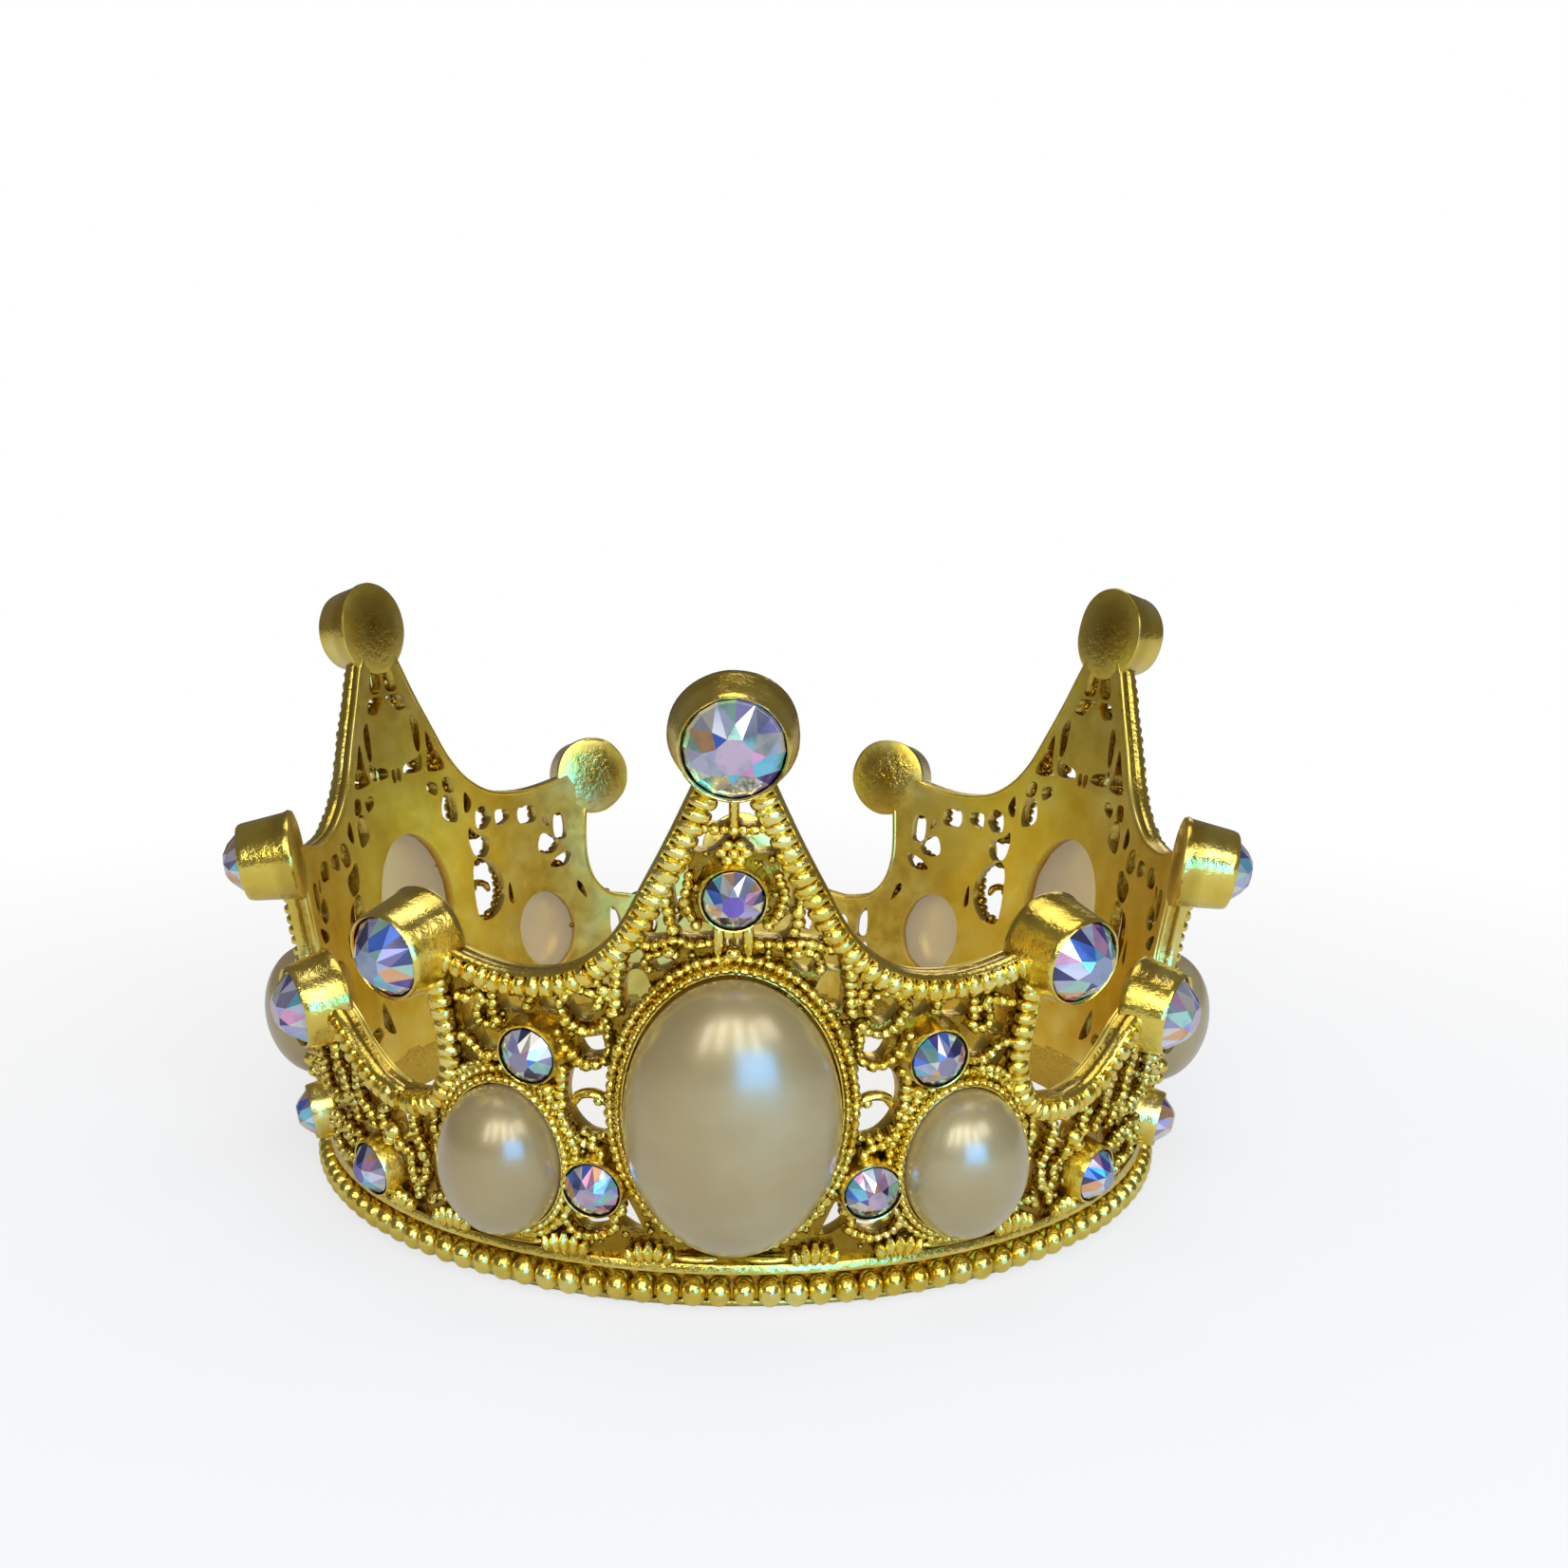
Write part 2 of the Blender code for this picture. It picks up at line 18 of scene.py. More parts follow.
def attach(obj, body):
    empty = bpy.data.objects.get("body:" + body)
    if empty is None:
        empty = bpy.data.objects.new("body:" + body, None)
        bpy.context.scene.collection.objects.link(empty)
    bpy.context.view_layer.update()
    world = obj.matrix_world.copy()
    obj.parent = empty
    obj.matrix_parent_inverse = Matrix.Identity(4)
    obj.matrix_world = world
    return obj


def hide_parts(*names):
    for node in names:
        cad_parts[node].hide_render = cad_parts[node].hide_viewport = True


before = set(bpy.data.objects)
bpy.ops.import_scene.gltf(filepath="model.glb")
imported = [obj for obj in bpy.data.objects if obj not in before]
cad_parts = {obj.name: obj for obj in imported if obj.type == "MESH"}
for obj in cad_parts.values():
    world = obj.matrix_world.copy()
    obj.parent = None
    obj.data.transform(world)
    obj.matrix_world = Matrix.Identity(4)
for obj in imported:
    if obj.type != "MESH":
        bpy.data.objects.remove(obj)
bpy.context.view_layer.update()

MM = 0.001

# The wall, as in the frame.
BASE_RADIUS = 30.0
WALL_SLOPE = 0.147
LEAN = math.atan(WALL_SLOPE)
AXIS_Y = 1.55
SIDES = ["front", "right", "left"]
SEAM_ARC = math.radians(42.0) * BASE_RADIUS
DIP_ARC = math.radians(60.0) * BASE_RADIUS
SECTOR_ARC = 2 * DIP_ARC
SEAM_OVERLAP = 0.005
WALL_BACK = -1.45
WALL_FRONT = -0.45
LEDGE_HEIGHT = 3.15

# The upper edge of half a peak, of the post below its flank finial, and of half a dip.
PEAK_EDGE = [
    (1.8, 34.6), (3.3, 31.0), (4.7, 28.0), (5.9, 25.6), (7.4, 23.7),
    (9.4, 22.4), (11.8, 22.0), (14.0, 22.2), (16.6, 22.9),
]
POST_EDGE = [(18.3, 20.4), (18.05, 17.5), (18.1, 15.4), (18.7, 13.6), (20.0, 12.4), (22.0, 12.05)]
DIP_EDGE = [(22.0, 12.05), (24.2, 12.6), (26.1, 13.9), (27.6, 15.3), (29.0, 16.2)]

# Gaps through the right half of a peak, and through the left half of a dip.
PEAK_GAPS = [
    [(0.3, 33.9), (0.3, 31.95), (1.4, 31.95), (0.85, 33.9)],
    [(0.3, 31.2), (0.6, 30.7), (1.2, 30.1), (2.05, 30.3), (1.6, 31.2)],
    [(2.4, 29.3), (2.5, 27.0), (2.95, 26.7), (3.05, 28.6)],
    [(3.8, 27.8), (3.65, 26.0), (3.4, 24.95), (5.1, 24.9), (4.4, 26.6)],
    [(1.1, 25.0), (2.7, 25.0), (2.9, 26.2), (2.3, 25.9), (1.2, 25.6)],
    [(0.1, 25.3), (0.5, 25.3), (0.45, 24.5), (0.1, 24.5)],
    [(3.2, 23.2), (4.0, 22.7), (4.2, 23.5), (3.4, 23.8)],
    [(4.9, 23.8), (5.6, 23.8), (5.8, 22.8), (5.0, 22.9)],
    [(4.75, 22.3), (4.5, 20.9), (5.7, 20.3), (5.85, 21.6), (5.4, 22.5)],
    [(6.7, 21.0), (7.1, 20.9), (7.4, 21.6), (6.9, 22.4)],
    [(7.8, 19.5), (8.6, 19.3), (9.2, 20.2), (8.7, 21.0), (7.9, 20.7)],
    [(6.9, 18.3), (7.3, 17.2), (8.3, 17.0), (8.7, 18.2), (7.7, 18.8), (7.0, 19.3)],
    [(7.05, 12.3), (8.3, 11.8), (9.35, 12.7), (9.65, 14.2), (9.0, 15.8), (7.2, 16.3)],
    [(5.5, 5.1), (7.0, 5.9), (6.6, 7.6)],
    [(7.6, 5.4), (9.1, 4.9), (9.9, 5.9), (9.2, 6.0), (8.1, 6.1)],
    [(13.6, 16.7), (14.8, 16.4), (15.3, 17.4), (14.0, 18.0)],
    [(12.0, 19.3), (13.3, 19.3), (13.3, 20.4), (12.0, 20.4)],
    [(14.2, 19.0), (14.6, 18.7), (14.4, 19.5), (14.1, 19.5)],
    [(15.2, 17.7), (16.1, 17.7), (16.1, 19.4), (15.2, 19.4)],
    [(9.8, 19.4), (10.8, 19.7), (10.9, 20.4), (9.8, 20.5)],
    [(14.6, 15.2), (15.9, 15.2), (16.4, 16.3), (15.2, 15.9)],
    [(16.9, 13.6), (17.3, 13.3), (17.6, 12.2), (16.9, 13.0)],
    [(19.5, 5.8), (20.4, 5.5), (20.5, 7.4), (19.7, 7.9)],
    [(19.8, 9.0), (20.6, 8.8), (20.6, 10.2), (19.9, 11.0)],
    [(10.2, 12.9), (10.6, 12.6), (10.5, 13.9), (10.3, 14.2)],
]
DIP_GAPS = [
    [(21.7, 9.3), (22.3, 8.3), (23.4, 8.3), (23.9, 9.4), (23.0, 10.3), (21.9, 10.2)],
    [(24.9, 10.6), (25.2, 8.9), (26.4, 9.9), (26.6, 11.2), (25.7, 11.5)],
    [(29.2, 5.0), (30.2, 4.7), (30.9, 5.1), (30.1, 5.3), (29.5, 6.2), (29.1, 5.8)],
    [(28.2, 7.6), (28.7, 7.0), (29.3, 7.7), (28.8, 8.5)],
    [(27.8, 10.0), (28.7, 9.9), (29.0, 11.9), (27.9, 11.9)],
    [(30.0, 9.5), (31.0, 9.4), (31.0, 11.9), (30.1, 11.6)],
]

# Granulated wires on the right half of a peak: (half width, bead pitch, points).
PEAK_WIRES = [
    (0.42, 0.62, [(1.05, 34.0), (1.6, 32.3), (2.4, 30.9), (3.2, 29.2), (3.8, 27.6), (4.5, 26.2),
                  (5.2, 25.1), (5.8, 23.9), (6.2, 22.6), (6.2, 21.2), (6.5, 19.8)]),
    (0.36, 0.58, [(2.3, 30.0), (3.1, 28.9), (3.4, 27.4), (3.3, 26.0), (2.9, 25.1)]),
    (0.30, 0.50, [(2.2, 28.9), (2.55, 27.6), (2.3, 26.4), (1.7, 25.6)]),
    (0.34, 0.52, [(1.0, 24.6), (2.2, 24.5), (3.3, 24.7), (4.3, 24.4), (5.2, 24.3)]),
    (0.30, 0.50, [(2.9, 23.6), (3.5, 24.0), (4.3, 23.8), (4.6, 23.2), (4.3, 22.6)]),
    (0.36, 0.56, [(6.9, 19.6), (7.3, 18.9), (8.3, 18.6), (9.2, 19.2), (9.5, 20.2), (9.0, 21.0),
                  (8.0, 21.2), (7.3, 20.7), (7.4, 19.9)]),
    (0.38, 0.58, [(10.0, 18.6), (9.4, 17.4), (8.6, 16.6), (7.8, 16.5), (6.9, 16.9)]),
    (0.30, 0.50, [(6.9, 17.0), (7.0, 18.0), (6.8, 19.2)]),
    (0.40, 0.60, [(9.6, 16.2), (9.9, 15.0), (9.9, 13.6), (9.6, 12.2), (9.0, 11.3), (8.0, 11.0)]),
    (0.34, 0.54, [(7.2, 11.9), (8.0, 11.6), (8.8, 12.0)]),
    (0.36, 0.56, [(6.6, 20.6), (7.4, 21.9), (8.8, 21.7), (10.4, 20.9), (12.0, 20.8), (14.0, 20.9),
                  (15.8, 21.3)]),
    (0.34, 0.54, [(11.3, 20.6), (11.4, 19.6)]),
    (0.34, 0.54, [(13.4, 18.4), (13.7, 19.2), (13.6, 20.4)]),
    (0.36, 0.56, [(13.5, 16.4), (14.6, 16.1), (15.5, 16.6), (16.4, 17.2)]),
    (0.32, 0.52, [(13.6, 18.2), (14.6, 18.3), (14.9, 19.0), (14.4, 19.7), (13.7, 19.5)]),
    (0.34, 0.54, [(16.3, 19.8), (15.2, 19.8), (14.2, 20.2)]),
    (0.34, 0.54, [(14.4, 15.6), (15.6, 15.3), (16.6, 14.6), (17.4, 13.4)]),
    (0.36, 0.56, [(7.0, 5.3), (7.1, 6.2), (6.6, 7.0), (6.9, 7.9)]),
    (0.36, 0.56, [(7.2, 5.4), (7.9, 4.9), (9.0, 4.6), (10.0, 5.0), (10.4, 5.9), (10.6, 6.8)]),
    (0.34, 0.54, [(10.2, 11.0), (10.6, 10.0), (10.4, 8.8)]),
    (0.36, 0.56, [(18.9, 12.0), (19.4, 10.6), (19.4, 9.0), (19.0, 7.4), (18.2, 5.8), (17.2, 4.9)]),
    (0.36, 0.56, [(20.4, 11.4), (21.2, 10.2), (21.2, 8.8), (20.7, 7.6), (21.0, 6.2), (22.0, 5.2),
                  (22.2, 4.2)]),
    (0.34, 0.54, [(18.6, 4.8), (19.4, 5.2), (20.4, 5.0), (21.0, 4.3)]),
]
DIP_WIRES = [
    (0.40, 0.60, [(20.2, 11.4), (22.0, 10.9), (24.0, 11.3), (25.8, 12.4), (27.4, 13.9)]),
    (0.36, 0.56, [(22.2, 5.4), (22.1, 6.8), (22.8, 7.6), (23.9, 8.0), (24.6, 8.9), (24.4, 10.2),
                  (23.6, 10.6)]),
    (0.36, 0.56, [(25.4, 8.4), (26.6, 9.4), (27.3, 10.8), (27.2, 12.4)]),
    (0.36, 0.56, [(31.4, 4.4), (29.9, 4.2), (28.7, 4.9), (28.4, 6.0), (29.2, 7.0), (30.4, 6.9),
                  (30.8, 6.0), (30.0, 5.6)]),
    (0.36, 0.56, [(31.4, 9.0), (30.2, 8.8), (29.3, 9.4), (29.3, 10.8), (29.8, 12.4), (30.2, 13.6)]),
    (0.34, 0.54, [(27.8, 8.4), (28.6, 9.2), (29.0, 10.2)]),
]
SMOOTH_WIRES = [
    (0.30, [(0.8, 26.0), (0.75, 25.0), (0.8, 23.9)]),
    (0.30, [(7.0, 13.7), (7.3, 14.35), (8.0, 14.6), (8.8, 14.35), (9.1, 13.7)]),
    (0.26, [(11.9, 3.75), (14.4, 3.65), (16.9, 3.75)]),
    (0.26, [(0.9, 3.7), (2.2, 3.65), (3.4, 3.7)]),
]

# Arches of upright ribs above the ledge: (first arc, last arc, top).
RIBBED_ARCHES = [(3.4, 6.7, 4.6), (8.7, 12.1, 4.7), (17.2, 20.6, 4.6), (22.4, 24.8, 4.4)]
ARCH_PITCH = 0.66
ARCH_FOOT = 0.8
ARCH_ROUNDING = 0.75

# Round lumps of the right half: (radius, arc, height, extra rise). Those past LAST_PEAK_ARC
# belong to the dip.
BOSSES = [
    (0.34, 7.55, 14.2, 0.25), (0.42, 9.1, 6.4, 0.35), (0.45, 10.6, 14.6, 0.3),
    (0.4, 7.6, 10.7, 0.3), (0.42, 17.0, 20.6, 0.4), (0.62, 23.3, 8.9, 0.3),
    (0.5, 23.9, 8.2, 0.25), (0.45, 22.9, 8.0, 0.2), (0.38, 3.3, 24.1, 0.3),
]
LAST_PEAK_ARC = 22
ROSETTE_PETALS = 6
ROSETTE_HEIGHT = 30.2

# The foot: a profile of (height, offset) from the underside to the ledge, and its beads.
FOOT_PROFILE = [
    (-0.4, WALL_BACK), (-0.4, -0.5), (0.08, -0.3), (0.2, -0.18), (0.38, -0.16), (0.5, -0.24),
    (0.58, -0.42), (2.44, -0.42), (2.5, -0.08), (2.62, 0.1), (2.86, 0.06), (LEDGE_HEIGHT, -0.14),
    (LEDGE_HEIGHT, -0.5), (LEDGE_HEIGHT, WALL_BACK),
]
FOOT_STATIONS = 126
FOOT_BEADS = 40
FOOT_BEAD_SIZE = (0.76, 0.94, 0.92)
FOOT_BEAD_HEIGHT = 1.46
FOOT_BEAD_OFFSET = 0.2

# The pearls: name: (half width, half height, girdle offset, belly, tilt); then where each sits,
# as (degrees round the ring from the peak, height).
PEARLS = {
    "large_pearl": (6.5, 9.0, 1.4, 4.6, 0.0),
    "small_pearl_l": (4.0, 5.0, 1.1, 3.6, math.radians(-7.0)),
    "small_pearl_r": (4.0, 5.0, 1.1, 3.6, math.radians(7.0)),
}
PEARL_SEATS = {
    "large_pearl": (0.0, 14.0),
    "small_pearl_l": (-26.2, 9.7),
    "small_pearl_r": (26.2, 9.7),
}
PEARL_BACK = 0.3
OPEN_BACK = 0.68
# The seat's collar round a pearl: (distance outside the pearl, offset).
COLLAR = [
    (0.03, -0.6), (0.03, 0.45), (0.08, 0.56), (0.15, 0.54), (0.2, 0.35), (0.6, -0.1), (0.65, -0.6),
]

# The stones: radii of a seat and of its stone, offsets out of the wall, and where each sits.
CUP = dict(back=3.7, rim=3.02, pocket=2.86, stone=2.8)
LOW_CUP = dict(back=3.3, rim=2.72, pocket=2.56, stone=2.5)
RING = dict(back=2.08, rim=1.98, pocket=1.82, stone=1.72)
CUP_OFFSETS = dict(floor=0.7, stone_back=1.0, girdle=2.2, table=3.8, top=2.5)
SHORT_CUP_OFFSETS = dict(floor=0.0, stone_back=0.3, girdle=1.4, table=3.0, top=1.7)
RING_OFFSETS = dict(floor=-0.3, stone_back=0.0, girdle=0.9, table=2.0, top=1.1)
CUP_BACK = -1.3
STONES = {
    "tall_finial_stone": (0.0, 36.7, CUP, SHORT_CUP_OFFSETS),
    "flank_finial_stone_l": (-36.1, 22.7, LOW_CUP, CUP_OFFSETS),
    "flank_finial_stone_r": (36.1, 22.7, LOW_CUP, CUP_OFFSETS),
    "dip_finial_stone": (60.0, 15.7, LOW_CUP, SHORT_CUP_OFFSETS),
    "peak_stone": (0.0, 27.7, RING, RING_OFFSETS),
    "mid_stone_l": (-21.6, 17.1, RING, RING_OFFSETS),
    "mid_stone_r": (21.6, 17.1, RING, RING_OFFSETS),
    "low_stone_l": (-15.4, 8.5, RING, RING_OFFSETS),
    "low_stone_r": (15.4, 8.5, RING, RING_OFFSETS),
    "dip_stone_l": (48.7, 5.8, RING, RING_OFFSETS),
    "dip_stone_r": (71.3, 5.8, RING, RING_OFFSETS),
}

RNG_SEED = 11
GRAIN_COUNT = 1010
# Where grains fall: (first arc, last arc, lowest, highest).
GRAIN_ZONES = [(-16.0, 16.0, 3.7, 31.0), (16.0, 47.0, 3.7, 15.0), (-22.0, -16.0, 3.7, 20.0)]
GAP_GROWTH = 1.12
WANDER_SCALE = 0.9
PLATE_STEP = 0.7
RIB_STATIONS = 5


def wall(points):
    """Flat (arc, height, offset) rows bent round the flared wall, about the ring's axis."""
    points = np.asarray(points, float)
    angle = points[:, 0] / BASE_RADIUS
    radius = BASE_RADIUS + WALL_SLOPE * points[:, 1] + points[:, 2] * math.cos(LEAN)
    height = points[:, 1] - points[:, 2] * math.sin(LEAN)
    return np.stack([radius * np.sin(angle), -radius * np.cos(angle), height], 1)


def seat_matrix(arc, height, tilt=0.0):
    """The frame of a seat on the wall, in millimetres: X along, Y up and Z out of it."""
    angle = arc / BASE_RADIUS
    place = Vector(wall([(arc, height, 0.0)])[0])
    across = Vector((math.cos(angle), math.sin(angle), 0.0))
    outward = Vector(wall([(arc, height, 1.0)])[0]) - place
    up = outward.cross(across)
    turn = Matrix((across, up, outward)).transposed().to_4x4()
    return Matrix.Translation(place) @ turn @ Matrix.Rotation(tilt, 4, "Z")


def moved(points, matrix):
    points, matrix = np.asarray(points, float), np.array(matrix)
    return points @ matrix[:3, :3].T + matrix[:3, 3]


class Casting:
    """The vertices and faces of a piece as it is put together, in millimetres."""

    def __init__(self):
        self.points = []
        self.faces = []
        self.grain = []
        self.depth = []
        self.count = 0

    def add(self, points, faces, grain, depth):
        """grain is how rough the skin is, and depth is the offset out of the wall; together they
        also set how much painted shade the gold takes in its recesses.
        """
        self.points.append(np.asarray(points, float))
        self.faces.extend(tuple(i + self.count for i in face) for face in faces)
        self.grain.append(np.full(len(points), float(grain)))
        self.depth.append(np.asarray(depth, float))
        self.count += len(points)

    def add_on_wall(self, points, faces, grain=1.0):
        points = np.asarray(points, float)
        self.add(wall(points), faces, grain, points[:, 2])

    def add_in_seat(self, points, faces, matrix, grain=1.0):
        points = np.asarray(points, float)
        self.add(moved(points, matrix), faces, grain, points[:, 2])

    def mesh(self, name):
        points = np.vstack(self.points)
        points[:, 2] = np.maximum(points[:, 2], 0.0)
        mesh = bpy.data.meshes.new(name)
        mesh.from_pydata(points * MM, [], self.faces)
        for label, values in (("grain", self.grain), ("depth", self.depth)):
            attribute = mesh.attributes.new(label, "FLOAT", "POINT")
            attribute.data.foreach_set("value", np.concatenate(values).astype(np.float32))
        mesh.shade_smooth()
        mesh.set_sharp_from_angle(angle=math.radians(50))
        return mesh


def smooth_line(points, steps=6, closed=False):
    """Catmull-Rom points through a line."""
    points = [np.array(p, float) for p in points]
    count = len(points)
    spans = count if closed else count - 1
    line = []
    for i in range(spans):
        if closed:
            a, b, c, d = (points[(i + k) % count] for k in (-1, 0, 1, 2))
        else:
            a, b, c, d = (points[min(max(i + k, 0), count - 1)] for k in (-1, 0, 1, 2))
        for k in range(steps):
            t = k / steps
            line.append(0.5 * (2 * b + (c - a) * t + (2 * a - 5 * b + 4 * c - d) * t * t
                               + (3 * b - a - 3 * c + d) * t ** 3))
    if not closed:
        line.append(points[-1])
    return np.array(line)


def resampled(line, count, closed=False):
    """The line as count equal steps along its length."""
    if closed:
        line = np.vstack([line, line[:1]])
    steps = np.linalg.norm(np.diff(line, axis=0), axis=1)
    length = np.concatenate([[0.0], np.cumsum(steps)])
    wanted = np.linspace(0.0, length[-1], count + 1)
    if closed:
        wanted = wanted[:-1]
    return np.stack([np.interp(wanted, length, line[:, k]) for k in range(line.shape[1])], 1)


def line_length(line, closed=False):
    if closed:
        line = np.vstack([line, line[:1]])
    return float(np.linalg.norm(np.diff(line, axis=0), axis=1).sum())


def inset(line, distance):
    """The line moved to its right-hand side, which is the metal's side of an edge."""
    along = np.gradient(line, axis=0)
    along /= np.linalg.norm(along, axis=1)[:, None]
    return line + np.stack([along[:, 1], -along[:, 0]], 1) * distance


def mirrored(line, about=0.0):
    """The line's mirror image about an arc, run the other way."""
    line = np.array(line, float)[::-1].copy()
    line[:, 0] = 2 * about - line[:, 0]
    return line


def loops(sections, sides, closed):
    """Quads between the rings of a tube, with end caps where it is open, faces outward."""
    faces = []
    last = sections if closed else sections - 1
    for i in range(last):
        here = i * sides
        there = ((i + 1) % sections) * sides
        for j in range(sides):
            k = (j + 1) % sides
            faces.append((here + j, there + j, there + k, here + k))
    if not closed:
        faces.append(tuple(range(sides)))
        faces.append(tuple(reversed(range((sections - 1) * sides, sections * sides))))
    return faces


def tube(line, widths, rises, sides=8, closed=False):
    """A tube round a line of (arc, height, offset), with a half width and a rise at each point."""
    if closed:
        along = np.roll(line, -1, axis=0) - np.roll(line, 1, axis=0)
    else:
        along = np.gradient(line, axis=0)
    along /= np.linalg.norm(along, axis=1)[:, None]
    out = np.zeros_like(line)
    out[:, 2] = 1.0
    out -= along * (along * out).sum(1)[:, None]
    out /= np.linalg.norm(out, axis=1)[:, None]
    side = np.cross(along, out)
    turn = np.linspace(0, 2 * math.pi, sides, endpoint=False)
    points = (line[:, None, :]
              + side[:, None, :] * np.cos(turn)[None, :, None] * widths[:, None, None]
              + out[:, None, :] * np.sin(turn)[None, :, None] * rises[:, None, None])
    return points.reshape(-1, 3), loops(len(line), sides, closed)


def beaded(line, width, pitch, offset, rng, rise=None, neck=0.5, jitter=0.12, closed=False,
           sides=8, blunt=0.5):
    """A wire cast as a row of beads that run into each other."""
    rise = width if rise is None else rise
    beads = max(2, round(line_length(line, closed) / pitch))
    path = resampled(line, beads * RIB_STATIONS, closed)
    phase = (np.arange(len(path)) % RIB_STATIONS) / RIB_STATIONS
    swell = neck + (1 - neck) * np.maximum(0.0, 1 - (2 * phase - 1) ** 2) ** blunt
    scale = np.array([1 + rng.uniform(-jitter, jitter) for _ in range(beads + 1)])
    size = np.repeat(scale, RIB_STATIONS)[: len(path)]
    lift = np.repeat([rng.uniform(-jitter, jitter) * rise for _ in range(beads + 1)],
                     RIB_STATIONS)[: len(path)]
    spots = np.column_stack([path, offset + lift])
    return tube(spots, width * swell * size, rise * swell * size, sides, closed)


def smooth_wire(line, width, offset, rise=None, sides=8, closed=False):
    """A plain wire, rounded off where it ends."""
    rise = width if rise is None else rise
    path = resampled(line, max(4, round(line_length(line, closed) / 0.35)), closed)
    spots = np.column_stack([path, np.full(len(path), offset)])
    ends = np.ones(len(path))
    if not closed:
        ends[[0, -1]] = 0.45
        ends[[1, -2]] = 0.85
    return tube(spots, width * ends, rise * ends, sides, closed)


def ball(subdivisions):
    """The points and faces of a unit ball."""
    bm = bmesh.new()
    bmesh.ops.create_icosphere(bm, subdivisions=subdivisions, radius=1.0)
    points = np.array([v.co[:] for v in bm.verts])
    faces = [tuple(v.index for v in f.verts) for f in bm.faces]
    bm.free()
    return points, faces


BALL = {n: ball(n) for n in (1, 2, 3)}


def turned(profile, segments, half_sizes=(0.0, 0.0)):
    """A closed profile of (radius, offset) turned about Z, or swept round an oval."""
    profile = np.asarray(profile, float)
    turn = np.linspace(0, 2 * math.pi, segments, endpoint=False)
    cos, sin = np.cos(turn)[:, None], np.sin(turn)[:, None]
    x = cos * (half_sizes[0] + profile[None, :, 0])
    y = sin * (half_sizes[1] + profile[None, :, 0])
    z = np.broadcast_to(profile[None, :, 1], x.shape)
    points = np.stack([x, y, z], -1).reshape(-1, 3)
    return points, loops(segments, len(profile), True)


def plate(outline, gaps):
    """The flat openwork plate, finely cut so that it bends, with a waved front."""
    curve = bpy.data.curves.new("plate", "CURVE")
    curve.dimensions = "2D"
    curve.fill_mode = "BOTH"
    curve.extrude = (WALL_FRONT - WALL_BACK) / 2
    for line in [outline] + gaps:
        spline = curve.splines.new("POLY")
        spline.points.add(len(line) - 1)
        for slot, point in zip(spline.points, line):
            slot.co = (point[0], point[1], 0.0, 1.0)
        spline.use_cyclic_u = True
    holder = bpy.data.objects.new("plate", curve)
    bpy.context.scene.collection.objects.link(holder)
    bpy.context.view_layer.update()
    graph = bpy.context.evaluated_depsgraph_get()
    mesh = bpy.data.meshes.new_from_object(holder.evaluated_get(graph))
    bpy.data.objects.remove(holder, do_unlink=True)
    bm = bmesh.new()
    bm.from_mesh(mesh)
    bpy.data.meshes.remove(mesh)
    bmesh.ops.remove_doubles(bm, verts=bm.verts, dist=0.001)
    low, high = outline.min(0), outline.max(0)
    for axis, normal in enumerate(((1, 0, 0), (0, 1, 0))):
        for k in range(1, int((high[axis] - low[axis]) / PLATE_STEP)):
            at = [0.0, 0.0, 0.0]
            at[axis] = low[axis] + k * PLATE_STEP
            bmesh.ops.bisect_plane(bm, geom=bm.verts[:] + bm.edges[:] + bm.faces[:],
                                   dist=0.0005, plane_co=at, plane_no=normal)
    bmesh.ops.remove_doubles(bm, verts=bm.verts, dist=0.002)
    if bm.calc_volume(signed=True) < 0:
        bmesh.ops.reverse_faces(bm, faces=bm.faces)
    points = np.array([v.co[:] for v in bm.verts])
    faces = [tuple(v.index for v in f.verts) for f in bm.faces]
    bm.free()
    points[:, 2] += (WALL_FRONT + WALL_BACK) / 2
    return points, faces


def oval_line(half_sizes, grow, count=64):
    turn = np.linspace(0, 2 * math.pi, count, endpoint=False)
    return np.stack([np.cos(turn) * (half_sizes[0] + grow), np.sin(turn) * (half_sizes[1] + grow)],
                    1)


def seat_of(angle, height, tilt=0.0):
    """A seat's frame, from degrees round the ring."""
    return seat_matrix(math.radians(angle) * BASE_RADIUS, height, tilt)


def top_edges():
    """The edge lines of one panel, from its left seam to its right one."""
    peak = smooth_line(PEAK_EDGE)
    post = smooth_line(POST_EDGE)
    dip = smooth_line(DIP_EDGE)
    return [mirrored(post), mirrored(peak), peak, np.vstack([post[:-1], dip]),
            mirrored(dip, DIP_ARC)]


def plate_outline():
    """The plate's edge, seam to seam along the top and back along the foot."""
    post_left, peak_left, peak, post_dip, dip_right = (inset(line, 0.05) for line in top_edges())
    top = np.vstack([post_left, peak_left, peak, post_dip, dip_right])
    left, right = -SEAM_ARC - SEAM_OVERLAP, SECTOR_ARC - SEAM_ARC + SEAM_OVERLAP
    top[0, 0], top[-1, 0] = left, right
    foot = np.array([(right, LEDGE_HEIGHT - 0.3), (left, LEDGE_HEIGHT - 0.3)])
    return np.vstack([top, foot])


def both_halves(lines, about):
    """The lines, and their mirror images about an arc."""
    return [np.array(line, float) for line in lines] + [mirrored(line, about) for line in lines]


def grown(line):
    """A gap opened a little about its own middle."""
    return line.mean(0) + (line - line.mean(0)) * GAP_GROWTH


